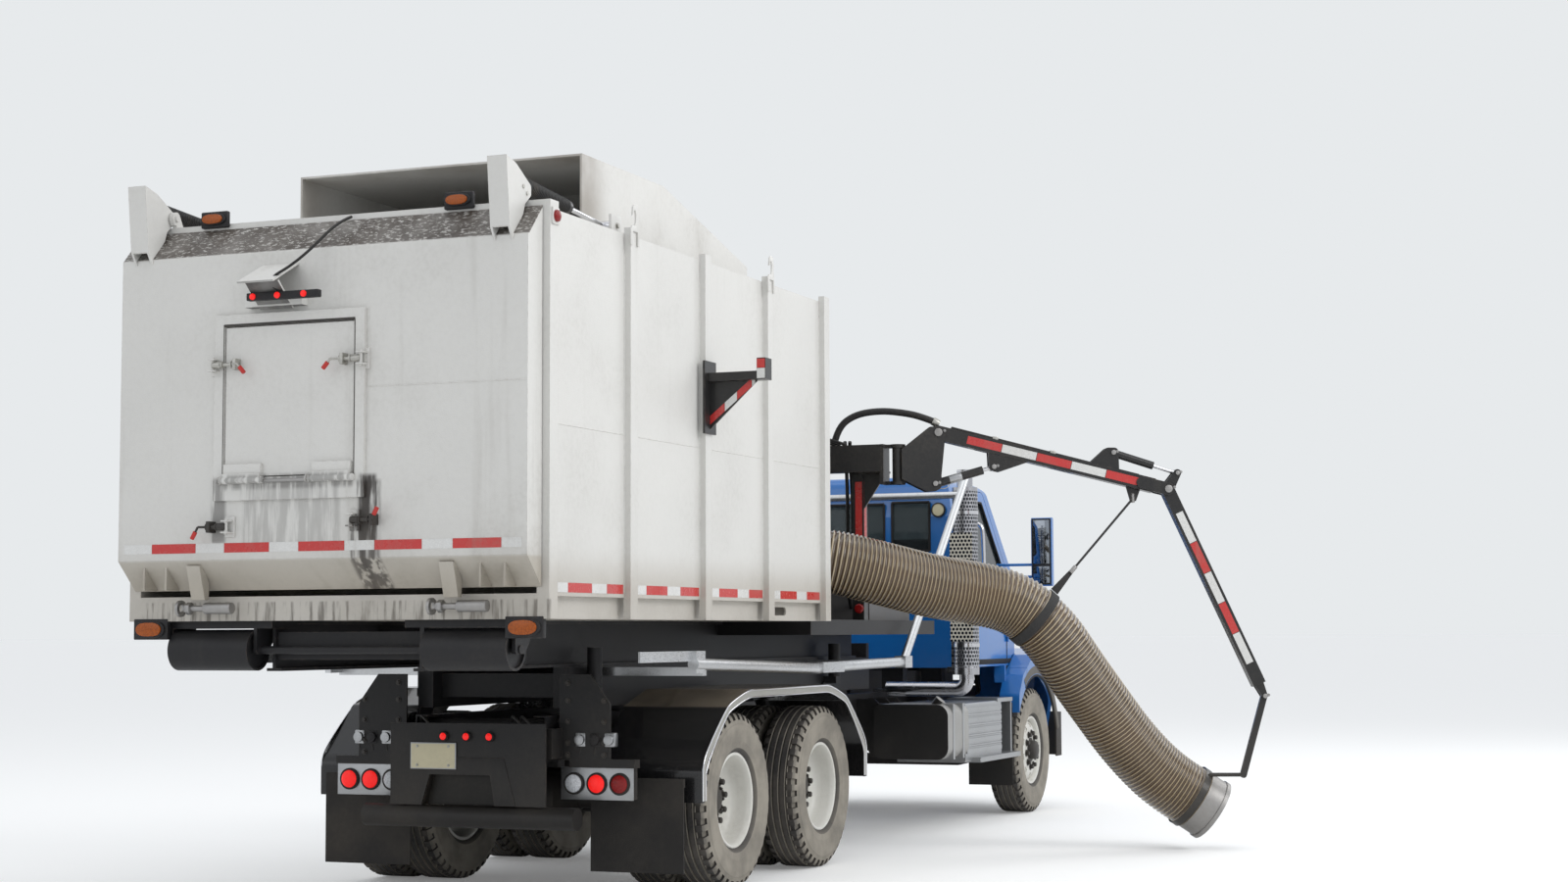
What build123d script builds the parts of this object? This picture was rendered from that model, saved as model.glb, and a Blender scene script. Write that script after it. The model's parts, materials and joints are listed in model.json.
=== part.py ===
from build123d import *
import math
import os

# Leaf vacuum truck: cab-and-chassis with a tilting bed, a welded box with a top-hinged gate,
# a vacuum unit and a hydraulic boom that carries the suction hose.
# Frame: +X forward, +Y left, +Z up, ground at z = 0. Lengths in millimetres.
# Modelling x starts at the rear face of the box's rear corner posts, y on the centre line.

# Placing of the origin under the middle of the whole outline
OUTLINE_REAR_X = -400.0
OUTLINE_FRONT_X = 10250.0
OUTLINE_RIGHT_Y = -3741.0
OUTLINE_LEFT_Y = 1510.0

# Clearances
SEAT_GAP = 0.3
PIN_GAP = 0.4
PANEL_GAP = 6.0
SHEET = 12.0

# Wheels and axles
TYRE_R = 522.5
TYRE_W = 280.0
RIM_R = 286.0
RIM_WALL = 24.0
DUAL_SPACING = 330.0
FENDER_GAP = 140.0
REAR_AXLES_X = (2584.0, 4020.0)
FRONT_AXLE_X = 9130.0
REAR_TRACK_OUT_Y = 1224.0
FRONT_TRACK_OUT_Y = 1190.0
AXLE_TUBE_R = 68.0
DRUM_R = 205.0
HUB_R = 100.0
KINGPIN_Y = 880.0
KINGPIN_R = 20.0
KINGPIN_LOW = -75.0
KINGPIN_HIGH = 35.0
STUB_R = 62.0

# Chassis rails
RAIL_OUT_Y = 430.0
RAIL_FLANGE = 80.0
RAIL_DEPTH = 260.0
RAIL_TOP_Z = 1050.0
RAIL_WALL = 9.0
RAIL_REAR_X = 1600.0
RAIL_FRONT_X = 9900.0
TANK_IN_Y = 630.0

# Tilting bed
TILT_X = 1750.0
TILT_Z = 1000.0
TILT_PIN_R = 30.0
BED_RAIL_IN_Y = 400.0
BED_RAIL_W = 100.0
BED_BOTTOM_Z = 1090.0
BED_TOP_Z = 1330.0
HOIST_BASE = (3600.0, 800.0)
HOIST_EYE = (5900.0, 985.0)
HOIST_Y = 556.0
HOIST_EYE_HALF = 43.0
HOIST_PIN_R = 18.0

# Box
BOX_LENGTH = 4020.0
BED_FRONT_X = BOX_LENGTH + 2880.0
BOX_SHEET_Y = 1236.0
BOX_POST_Y = 1275.0
POST_W = 94.0
POSTS_X = (0.0, 955.0, 1970.0, 2940.0, BOX_LENGTH - POST_W)
BOX_FOOT_Z = 1598.0
BOX_SHEET_Z = 1727.0
BOX_ROOF_Z = 3706.0
POST_TOP_Z = 3738.0
FLOOR_IN_Y = 1196.0
SILL_IN_Y = 405.0
SILL_W = 90.0

# Roof hood
HOOD_Y = 918.0
HOOD_REAR_X = 1071.0
HOOD_FLAT_X = 2160.0
HOOD_FRONT_X = 3460.0
HOOD_TOP_Z = 4197.0
HOOD_LOW_Z = 3886.0

# Gate
GATE_Y = 1234.0
GATE_FACE_X = -162.0
GATE_LOW_Z = 1760.0
GATE_FACE_LOW_Z = 1919.0
GATE_FACE_TOP_Z = 3537.0
GATE_TOP_Z = 3706.0
GATE_PIN_Z = 3790.0
GATE_PIN_R = 18.0
LEVER_PIN = (-175.0, 3843.0)
STAY_PIN = (1010.0, 3760.0)
LEVER_Y = 1095.0
GATE_EYE_HALF = 43.0
DOOR_Y = (-235.0, 560.0)
DOOR_Z = (2348.0, 3150.0)
DOOR_FRAME_W = 62.0
DOOR_PIN_R = 13.0

# Boom, in its own plane: s runs out from the swing axis, z up
SWING_X = BOX_LENGTH + 1036.0
SWING_Y = -1391.0
BOOM_HEADING = -65.2
MAST_R = 40.0
MAST_CHEEK = 68.0
MAST_Z = (2574.0, 2807.0)
BOOM_PIN = (276.0, 2911.0)
LIFT_BASE = (253.0, 2553.0)
LIFT_EYE = (668.0, 2672.0)
ELBOW_PIN = (1892.0, 2515.0)
ELBOW_BASE = (1511.0, 2772.0)
ELBOW_EYE = (1961.0, 2628.0)
TIP_PIN = (2553.0, 1069.0)
CLAMP_PIN = (2397.0, 523.0)
BOOM_TUBE = 100.0
BOOM_PIN_R = 20.0

# Suction hose, a route of points from the blower's inlet to the nozzle
HOSE_R = 220.0
HOSE_WALL = 14.0
HOSE_FLANGE_Y = 780.0 - SEAT_GAP
HOSE_ROUTE = [
    (BOX_LENGTH + 430, -780, 2020),
    (BOX_LENGTH + 430, -1050, 2020),
    (BOX_LENGTH + 620, -1360, 1935),
    (BOX_LENGTH + 910, -1690, 1830),
    (BOX_LENGTH + 1110, -1940, 1790),
    (BOX_LENGTH + 1250, -2180, 1720),
    (BOX_LENGTH + 1375, -2380, 1520),
    (BOX_LENGTH + 1510, -2500, 1280),
    (BOX_LENGTH + 1670, -2630, 1040),
    (BOX_LENGTH + 1830, -2790, 760),
    (BOX_LENGTH + 1970, -2990, 510),
    (BOX_LENGTH + 2090, -3210, 345),
]
# Runs of the route whose middles are the joints between the four lengths of hose
HOSE_CUTS = (2, 5, 8)
NOZZLE_LENGTH = 150.0
NOZZLE_WALL = 10.0

# Cab
CAB_REAR_X = 7580.0
CAB_Y = 1035.0
CAB_LOW_Z = 1240.0
CAB_ROOF_Z = 2780.0
COWL_X = 9060.0
COWL_Z = 1960.0
CAB_WALL = 42.0
DOOR_X = (7850.0, 8850.0)
DOOR_LOW_Z = 1262.0
DOOR_HINGES_Z = (1480.0, 1960.0)
DOOR_HINGE_OUT = 11.0
FLOOR_Z = 1262.0

# Nose
NOSE_FRONT_X = 10110.0
NOSE_Y = 1215.0
ARCH_R = TYRE_R + 102.5
# The wings end at this radius from the nose's hinge; what lies behind is fixed to the cab
NOSE_SWEEP_R = 1265.0
NOSE_WALL = 30.0
NOSE_HINGE = (NOSE_FRONT_X - 62.0, 832.0)
NOSE_HINGE_Y = (378.0, 398.0)
NOSE_PIN_R = 14.0
BUMPER_PROUD = 140.0
BUMPER_FRONT_X = NOSE_FRONT_X + BUMPER_PROUD
BUMPER_Z = (440.0, 820.0)

SOLIDS = {}


def block(x, y, z):
    """Box between low and high values."""
    size = (x[1] - x[0], y[1] - y[0], z[1] - z[0])
    return Pos(sum(x) / 2, sum(y) / 2, sum(z) / 2) * Box(*size)


def outline(*corners):
    """Closed face from (u, v) corners, or (u, v, radius) for a rounded one."""
    face = make_face(Polyline(*[corner[:2] for corner in corners], close=True))
    for corner in corners:
        if len(corner) == 3:
            near = face.vertices().sort_by_distance(Vector(corner[0], corner[1], 0))[0]
            face = fillet(near, corner[2])
    return face


def across(face, y):
    """Extrude an X-Z outline from y[0] to y[1]."""
    return extrude(Plane(origin=(0, y[1], 0), x_dir=(1, 0, 0), z_dir=(0, -1, 0)) * face, y[1] - y[0])


def along(face, x):
    """Extrude a Y-Z outline from x[0] to x[1]."""
    return extrude(Plane(origin=(x[0], 0, 0), x_dir=(0, 1, 0), z_dir=(1, 0, 0)) * face, x[1] - x[0])


def upward(face, z):
    """Extrude an X-Y outline from z[0] to z[1]."""
    return extrude(Pos(0, 0, z[0]) * face, z[1] - z[0])


def rod(start, end, radius, bore=0.0):
    """Round bar or tube between two points."""
    axis = Vector(*end) - Vector(*start)
    ring = Circle(radius)
    if bore:
        ring = ring - Circle(bore)
    return extrude(Plane(origin=start, z_dir=axis) * ring, axis.length)


def pin(centre, y, radius):
    """Round bar across the truck through an X-Z point."""
    return rod((centre[0], y[0], centre[1]), (centre[0], y[1], centre[1]), radius)


def pair(shape):
    """The shape and its mirror image on the other side."""
    return shape + mirror(shape, Plane.XZ)


def bent_tube(points, radius, bend, bore=0.0):
    """Round tube along straight runs joined by tangent arcs."""
    path = FilletPolyline(*points, radius=bend)
    ring = Circle(radius)
    if bore:
        ring = ring - Circle(bore)
    return sweep(Plane(origin=path @ 0, z_dir=path % 0) * ring, path=path)


def link_outline(start, end, start_r, end_r):
    """Flat bar with round ends between two points of a plane."""
    return make_hull((Pos(*start) * Circle(start_r)).edges() + (Pos(*end) * Circle(end_r)).edges())


def beam_outline(start, end, half, start_cut=0.0, end_cut=0.0):
    """Straight bar of even depth between two points, shortened at its ends."""
    run = Vector(end[0] - start[0], end[1] - start[1], 0)
    unit = run.normalized()
    side = Vector(-unit.Y, unit.X, 0)
    first = Vector(*start, 0) + unit * start_cut
    last = Vector(*end, 0) - unit * end_cut
    corners = [first + side * half, last + side * half, last - side * half, first - side * half]
    return outline(*[(corner.X, corner.Y) for corner in corners])


def ram(base, eye, y, barrel_r, rod_r, barrel_length, stroke, eye_half):
    """Barrel and rod of a hydraulic cylinder drawn in an X-Z plane at one y."""
    run = Vector(eye[0] - base[0], 0, eye[1] - base[1])
    unit = run.normalized()
    start = Vector(base[0], y, base[1])
    lug_r = barrel_r * 0.85

    def at(distance):
        return tuple(start + unit * distance)

    bore_from = lug_r * 1.6
    barrel = rod(at(lug_r * 0.5), at(barrel_length), barrel_r)
    barrel += pin(base, (y - eye_half, y + eye_half), lug_r)
    barrel -= rod(at(bore_from), at(barrel_length + 1), rod_r + PIN_GAP)
    inner = max(bore_from + stroke + 8, bore_from + 8)
    shaft = rod(at(inner), at(run.length), rod_r)
    shaft += pin(eye, (y - eye_half, y + eye_half), lug_r)
    return barrel, shaft


def keep(name, shape):
    SOLIDS[name] = shape


# Chassis

def chassis_frame():
    low = RAIL_TOP_Z - RAIL_DEPTH
    web = RAIL_OUT_Y - RAIL_WALL
    lip = RAIL_OUT_Y - RAIL_FLANGE
    channel = outline(
        (RAIL_OUT_Y, low), (RAIL_OUT_Y, RAIL_TOP_Z), (lip, RAIL_TOP_Z), (lip, RAIL_TOP_Z - RAIL_WALL),
        (web, RAIL_TOP_Z - RAIL_WALL), (web, low + RAIL_WALL), (lip, low + RAIL_WALL), (lip, low),
    )
    frame = pair(along(channel, (RAIL_REAR_X, RAIL_FRONT_X)))
    for x in (RAIL_REAR_X + 60, 2350.0, 3302.0, 4300.0, 5250.0, 6200.0, 7150.0, 8150.0, 9720.0):
        frame += block((x, x + 60), (-web, web), (low + 60, RAIL_TOP_Z - 60))
    # Ears of the tilt hinge, carried outside the rails on a cross tube
    ear = outline((TILT_X - 110, low + 20), (TILT_X + 110, low + 20), (TILT_X + 62, TILT_Z + 62, 60),
                  (TILT_X - 62, TILT_Z + 62, 60))
    ear_y = BED_RAIL_IN_Y + BED_RAIL_W + 30
    frame += pair(across(ear, (ear_y, ear_y + 28)))
    frame += block((TILT_X - 60, TILT_X + 60), (-ear_y - 14, ear_y + 14), (low + 20, low + 100))
    frame -= pin((TILT_X, TILT_Z), (-ear_y - 40, ear_y + 40), TILT_PIN_R + PIN_GAP)
    # Rest pads under the bed rails
    for x in (3300.0, 6500.0):
        pad = block((x - 90, x + 90), (RAIL_OUT_Y - 60, RAIL_OUT_Y), (RAIL_TOP_Z, BED_BOTTOM_Z - SEAT_GAP))
        frame += pair(pad)
    # Lugs of the hoist cylinders
    lug = link_outline((HOIST_BASE[0], low + 60), HOIST_BASE, 70, 50)
    lug_y = HOIST_Y - HOIST_EYE_HALF - SEAT_GAP
    frame += pair(across(lug, (RAIL_OUT_Y, lug_y)))
    frame += pair(pin(HOIST_BASE, (lug_y - 20, HOIST_Y + 40), HOIST_PIN_R))
    # Cab mounts and the posts that carry the cab floor
    for x in (CAB_REAR_X + 120, 8700.0):
        frame += pair(block((x - 50, x + 50), (RAIL_OUT_Y - 90, RAIL_OUT_Y + 90),
                            (RAIL_TOP_Z, FLOOR_Z - 24 - SEAT_GAP)))
    # Brackets that carry the tank and the steps
    bracket_y = TANK_IN_Y - SEAT_GAP
    bracket = outline((RAIL_OUT_Y, RAIL_TOP_Z - 40), (RAIL_OUT_Y, low), (bracket_y - 80, low - 220),
                      (bracket_y, low - 220), (bracket_y, RAIL_TOP_Z - 90), (bracket_y - 50, RAIL_TOP_Z - 40))
    for x in (6800.0, 7060.0, 7300.0, 8000.0):
        frame += pair(along(bracket, (x, x + 14)))
    keep("chassis_frame", frame)


def front_bumper():
    def plan(inset):
        return outline(
            (end, half - inset), (end + 190, half - inset, 60), (BUMPER_FRONT_X - inset, 700.0, 80),
            (BUMPER_FRONT_X - inset, -700.0, 80), (end + 190, -half + inset, 60), (end, -half + inset),
        )
    end = BUMPER_FRONT_X - 480.0
    half = NOSE_Y - 10
    low, high = BUMPER_Z
    skin = upward(plan(0), BUMPER_Z) - upward(plan(SHEET), (low - 10, high + 10))
    skin -= block((BUMPER_FRONT_X - 100, BUMPER_FRONT_X + 50), (-330.0, 330.0), (low + 60, low + 160))
    # Side brackets from the rails' ends, which also carry the nose's hinge
    rear = RAIL_FRONT_X + SEAT_GAP
    hinge_x, hinge_z = NOSE_HINGE
    bracket = outline((rear, RAIL_TOP_Z), (rear + 40, RAIL_TOP_Z), (rear + 90, hinge_z + 13), (hinge_x, hinge_z + 13),
                      (hinge_x + 30, hinge_z - 57), (hinge_x + 74, hinge_z - 92), (BUMPER_FRONT_X - 6, hinge_z - 92),
                      (BUMPER_FRONT_X - 6, low + 60), (rear + 180, low + 60), (rear, hinge_z - 32))
    bracket = across(bracket, NOSE_HINGE_Y) + pin(NOSE_HINGE, NOSE_HINGE_Y, 36)
    bracket -= pin(NOSE_HINGE, (NOSE_HINGE_Y[0] - 5, NOSE_HINGE_Y[1] + 5), NOSE_PIN_R + PIN_GAP)
    skin += pair(bracket)
    keep("front_bumper", skin)


def rear_bogie():
    low = RAIL_TOP_Z - RAIL_DEPTH
    hub_y = REAR_TRACK_OUT_Y - TYRE_W / 2 - DUAL_SPACING / 2 - DRUM_R - 14 - SEAT_GAP
    bogie = None
    for x in REAR_AXLES_X:
        tube = pin((x, TYRE_R), (-hub_y, hub_y), AXLE_TUBE_R)
        bowl = revolve(Plane.XZ * outline((0, -190), (60, -185), (175, -60), (175, 60), (60, 185), (0, 190)), Axis.Z)
        bowl = Pos(x, 0, TYRE_R) * Rot(90, 0, 0) * bowl
        nose = rod((x, 0, TYRE_R), (x + 330, 0, TYRE_R + 60), 70)
        axle = tube + bowl + nose
        bogie = axle if bogie is None else bogie + axle
    first, last = REAR_AXLES_X
    middle = (first + last) / 2
    beam = outline((first - 110, TYRE_R - 60), (first + 110, TYRE_R - 95), (middle - 150, 360.0), (middle + 150, 360.0),
                   (last - 110, TYRE_R - 95), (last + 110, TYRE_R - 60), (last + 110, TYRE_R + 60),
                   (last - 110, TYRE_R + 75), (middle + 120, 500.0), (middle - 120, 500.0),
                   (first + 110, TYRE_R + 75), (first - 110, TYRE_R + 60))
    hanger = outline((middle - 190, low + 200), (middle - 90, 430.0), (middle + 90, 430.0), (middle + 190, low + 200))
    bogie += pair(across(beam, (450.0, 520.0)))
    bogie += pair(across(hanger, (RAIL_OUT_Y + SEAT_GAP, 475.0)))
    bogie += pin((middle, 430.0), (-500.0, 500.0), 55)
    keep("rear_bogie", bogie)


def front_axle():
    low = RAIL_TOP_Z - RAIL_DEPTH
    z = TYRE_R
    beam = outline((-KINGPIN_Y, z - 68), (-KINGPIN_Y + 80, z - 70), (-520.0, 385.0), (520.0, 385.0),
                   (KINGPIN_Y - 80, z - 70), (KINGPIN_Y, z - 68), (KINGPIN_Y, z + 30), (KINGPIN_Y - 100, z + 20),
                   (500.0, 475.0), (-500.0, 475.0), (-KINGPIN_Y + 100, z + 20), (-KINGPIN_Y, z + 30))
    axle = along(beam, (FRONT_AXLE_X - 50, FRONT_AXLE_X + 50))
    axle += pair(Pos(FRONT_AXLE_X, KINGPIN_Y, z + (KINGPIN_LOW + KINGPIN_HIGH) / 2) * Cylinder(52, KINGPIN_HIGH - KINGPIN_LOW))
    axle -= pair(Pos(FRONT_AXLE_X, KINGPIN_Y, z) * Cylinder(KINGPIN_R + PIN_GAP, 300))
    # Leaf springs, each one arc of leaves hung under its rail
    half = 720.0
    arc_top = ThreePointArc((-half, 120), (0, 0), (half, 120))
    arc_low = ThreePointArc((half, 84), (0, -48), (-half, 84))
    leaves = make_face([arc_top, Line((half, 120), (half, 84)), arc_low, Line((-half, 84), (-half, 120))])
    spring_y = (RAIL_OUT_Y - 82, RAIL_OUT_Y - 2)
    spring = across(Pos(FRONT_AXLE_X, low - 210) * leaves, spring_y)
    spring += block((FRONT_AXLE_X - 70, FRONT_AXLE_X + 70), spring_y, (450.0, low - 215))
    for x in (FRONT_AXLE_X - half + 30, FRONT_AXLE_X + half - 30):
        spring += block((x - 30, x + 30), spring_y, (low - 120, low - SEAT_GAP))
    keep("front_axle", axle + pair(spring))


def knuckle():
    """Left steering knuckle round the end of the axle beam."""
    z = TYRE_R
    stub_end = FRONT_TRACK_OUT_Y - TYRE_W / 2 - 95
    ears = None
    for z0, z1 in ((z + KINGPIN_HIGH + SEAT_GAP, z + KINGPIN_HIGH + 42), (z + KINGPIN_LOW - 42, z + KINGPIN_LOW - SEAT_GAP)):
        ear = block((FRONT_AXLE_X - 50, FRONT_AXLE_X + 50), (KINGPIN_Y - 50, KINGPIN_Y + 60), (z0, z1))
        ears = ear if ears is None else ears + ear
    web = block((FRONT_AXLE_X - 62, FRONT_AXLE_X + 62), (KINGPIN_Y + 56, KINGPIN_Y + 74),
                (z + KINGPIN_LOW - 42, z + KINGPIN_HIGH + 42))
    stub = pin((FRONT_AXLE_X, z), (KINGPIN_Y + 60, stub_end - SEAT_GAP), STUB_R)
    kingpin = Pos(FRONT_AXLE_X, KINGPIN_Y, z + (KINGPIN_LOW + KINGPIN_HIGH) / 2) * Cylinder(
        KINGPIN_R, KINGPIN_HIGH - KINGPIN_LOW + 40)
    arm = upward(link_outline((FRONT_AXLE_X, KINGPIN_Y), (FRONT_AXLE_X - 210, KINGPIN_Y - 50), 44, 22),
                 (z + KINGPIN_LOW - 42, z + KINGPIN_LOW - 14))
    return ears + web + stub + kingpin + arm


def wheel_section_front():
    """Half section (radius, offset from the tyre's middle), outward positive."""
    edge = TYRE_W / 2
    rim_in = RIM_R - RIM_WALL
    return outline(
        (0, -95), (HUB_R, -95), (HUB_R, 70), (rim_in - 40, 70), (rim_in, 40), (rim_in, -edge + 30),
        (RIM_R, -edge + 22), (RIM_R + 16, -edge + 8), (TYRE_R - 85, -edge), (TYRE_R, -edge + 32),
        (TYRE_R, edge - 32), (TYRE_R - 85, edge), (RIM_R + 16, edge - 8), (RIM_R, edge - 22), (rim_in, edge - 30),
        (rim_in, 64), (rim_in - 46, 94), (HUB_R + 22, 94), (HUB_R + 10, 165), (0, 178),
    )


def wheel_section_dual():
    """Half section of a twin wheel (radius, offset from the middle between the tyres)."""
    edge = TYRE_W / 2
    mid = DUAL_SPACING / 2
    rim_in = RIM_R - RIM_WALL
    return outline(
        (0, -DRUM_R - 14), (DRUM_R, -DRUM_R - 14), (DRUM_R, -24), (rim_in, -24), (rim_in, -mid - edge + 30),
        (RIM_R, -mid - edge + 22), (RIM_R + 16, -mid - edge + 8), (TYRE_R - 85, -mid - edge),
        (TYRE_R, -mid - edge + 32), (TYRE_R, -mid + edge - 32), (TYRE_R - 85, -mid + edge),
        (RIM_R + 16, -mid + edge - 8), (RIM_R, -mid + edge - 22), (RIM_R, mid - edge + 22),
        (RIM_R + 16, mid - edge + 8), (TYRE_R - 85, mid - edge), (TYRE_R, mid - edge + 32),
        (TYRE_R, mid + edge - 32), (TYRE_R - 85, mid + edge), (RIM_R + 16, mid + edge - 8),
        (RIM_R, mid + edge - 22), (rim_in, mid + edge - 30), (rim_in, 30), (HUB_R + 70, 12), (HUB_R + 70, 34),
        (HUB_R + 30, 40), (HUB_R, 205), (HUB_R - 20, 225), (0, 230),
    )


def wheels():
    front = revolve(wheel_section_front(), Axis.Y)
    dual = revolve(wheel_section_dual(), Axis.Y)
    front_y = FRONT_TRACK_OUT_Y - TYRE_W / 2
    dual_y = REAR_TRACK_OUT_Y - TYRE_W / 2 - DUAL_SPACING / 2
    table = [
        # name, section, x, y
        ("wheel_front", front, FRONT_AXLE_X, front_y),
        ("wheel_mid", dual, REAR_AXLES_X[1], dual_y),
        ("wheel_rear", dual, REAR_AXLES_X[0], dual_y),
    ]
    for name, wheel, x, y in table:
        left = Pos(x, y, TYRE_R) * wheel
        keep(name + "_left", left)
        keep(name + "_right", mirror(left, Plane.XZ))


def engine_block():
    body = block((8620.0, 9680.0), (-290.0, 290.0), (640.0, CAB_LOW_Z - 40))
    body += block((COWL_X + 60, 9680.0), (-290.0, 290.0), (900.0, 1560.0))
    side = RAIL_OUT_Y - RAIL_WALL - SEAT_GAP
    mounts = block((9250.0, 9330.0), (-side, side), (860.0, 920.0))
    keep("engine_block", body + mounts)


def fuel_tanks():
    tank = outline((TANK_IN_Y, 560.0, 60), (1225.0, 560.0, 90), (1225.0, 975.0, 90), (TANK_IN_Y, 975.0, 60))
    body = along(tank, (6640.0, 7160.0))
    cap = rod((6760.0, 1090.0, 960.0), (6760.0, 1130.0, 1010.0), 42)
    keep("fuel_tanks", pair(body + cap))


def side_steps():
    profile = outline((TANK_IN_Y, 510.0), (1190.0, 510.0, 20), (1190.0, 970.0, 20), (TANK_IN_Y, 970.0))
    body = along(profile, (7180.0, 8150.0))
    # Pressed ribs along the front of the step boxes
    for z in (580.0, 660.0, 740.0, 820.0, 900.0):
        body += block((7200.0, 8130.0), (1185.0, 1200.0), (z, z + 34))
    body += block((8050.0, 8480.0), (760.0, 1190.0), (955.0, 987.0))
    body += block((7360.0, 8480.0), (1150.0, 1255.0), (505.0, 545.0))
    body += block((8450.0, 8480.0), (780.0, 1180.0), (520.0, 975.0))
    body += block((8100.0, 8480.0), (780.0, 1180.0), (520.0, 545.0))
    keep("side_steps", pair(body))


def cab_side(inset=0.0):
    return outline(
        (CAB_REAR_X + inset, CAB_LOW_Z + inset * 0.5), (COWL_X + 20 - inset, CAB_LOW_Z + inset * 0.5),
        (COWL_X + 20 - inset, COWL_Z - 40 - inset), (COWL_X - inset, COWL_Z - inset),
        (8640.0 - inset, CAB_ROOF_Z - 90 - inset * 0.6, 90), (8380.0, CAB_ROOF_Z - inset, 160),
        (CAB_REAR_X + 70 + inset, CAB_ROOF_Z - inset, 110), (CAB_REAR_X + inset, CAB_ROOF_Z - 330, 60),
    )


def cab_front(inset=0.0):
    half = CAB_Y - inset
    return outline(
        (-half, CAB_LOW_Z - 10), (half, CAB_LOW_Z - 10), (half, COWL_Z + 60, 120), (half - 110, CAB_ROOF_Z - 70, 110),
        (half - 260, CAB_ROOF_Z + 14 - inset, 90), (-half + 260, CAB_ROOF_Z + 14 - inset, 90),
        (-half + 110, CAB_ROOF_Z - 70, 110), (-half, COWL_Z + 60, 120),
    )


def cab_solid(inset=0.0):
    body = across(cab_side(inset), (-CAB_Y - 20, CAB_Y + 20))
    return body & along(cab_front(inset), (CAB_REAR_X - 20, COWL_X + 60))


def door_outline(inset=0.0):
    return outline(
        (DOOR_X[0] + inset, DOOR_LOW_Z + inset, 40), (DOOR_X[1] - inset, DOOR_LOW_Z + inset, 40),
        (DOOR_X[1] - inset, 2090.0 - inset), (8530.0 - inset, 2690.0 - inset, 60),
        (DOOR_X[0] + inset, 2690.0 - inset, 60),
    )


def cab_and_doors():
    shell = cab_solid() - cab_solid(CAB_WALL)
    # Windscreen, rear windows and the floor
    screen = outline((-860.0, COWL_Z + 60, 50), (860.0, COWL_Z + 60, 50), (770.0, CAB_ROOF_Z - 150, 70),
                     (-770.0, CAB_ROOF_Z - 150, 70))
    shell -= along(screen, (8480.0, COWL_X + 60))
    # y low, y high, z low, z high
    for y0, y1, z0, z1 in ((-400.0, 400.0, 2130.0, 2560.0), (-785.0, -460.0, 2170.0, 2570.0),
                           (460.0, 785.0, 2170.0, 2570.0)):
        window = outline((y0, z0, 45), (y1, z0, 45), (y1, z1, 45), (y0, z1, 45))
        shell -= along(window, (CAB_REAR_X - 30, CAB_REAR_X + 200))
    doorway = across(door_outline(), (CAB_Y - 260, CAB_Y + 20))
    door = (shell & across(door_outline(PANEL_GAP), (CAB_Y - 260, CAB_Y + 20)))
    shell -= pair(doorway)
    # Door sill and step-up floor
    floor = block((CAB_REAR_X + CAB_WALL - 2, COWL_X - CAB_WALL), (-CAB_Y + 90, CAB_Y - 90),
                  (FLOOR_Z - 24, FLOOR_Z + 12))
    shell += floor
    pane = outline(
        (DOOR_X[0] + 90, 2060.0, 30), (DOOR_X[1] - 90, 2000.0, 30), (DOOR_X[1] - 100, 2105.0),
        (8470.0, 2600.0, 40), (DOOR_X[0] + 90, 2600.0, 40),
    )
    door -= across(pane, (CAB_Y - 260, CAB_Y + 20))
    # Two hinges a side: the cab's knuckle below, the door's above
    leaves = None
    for z in DOOR_HINGES_Z:
        axis_x, axis_y = DOOR_X[1], CAB_Y + DOOR_HINGE_OUT
        cab_leaf = block((axis_x, axis_x + 30), (CAB_Y - 2, axis_y + 4), (z - 40, z)) \
            + Pos(axis_x, axis_y, z - 20) * Cylinder(10, 40)
        door_leaf = block((axis_x - 34, axis_x), (CAB_Y - 2, axis_y + 4), (z + SEAT_GAP, z + 40)) \
            + Pos(axis_x, axis_y, z + 20 + SEAT_GAP / 2) * Cylinder(10, 40 - SEAT_GAP)
        shell += pair(cab_leaf)
        leaves = door_leaf if leaves is None else leaves + door_leaf
    door += leaves
    keep("cab_shell", shell)
    handle = block((DOOR_X[0] + 80, DOOR_X[0] + 240), (CAB_Y - 8, CAB_Y + 34), (1880.0, 1915.0))
    door += handle
    keep("door_left", door)
    keep("door_right", mirror(door, Plane.XZ))
    # Mirror on its two arms from the door
    head = block((8590.0, 8650.0), (1335.0, 1510.0), (1900.0, 2470.0))
    head = fillet(head.edges().filter_by(Axis.Y), 22)
    arms = None
    for z in (1980.0, 2080.0):
        arm = rod((8620.0, CAB_Y + SEAT_GAP - (z - 1980) * 0.1, z), (8620.0, 1340.0, z), 12)
        arms = arm if arms is None else arms + arm
    keep("mirror_left", head + arms)
    keep("mirror_right", mirror(head + arms, Plane.XZ))


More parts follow.
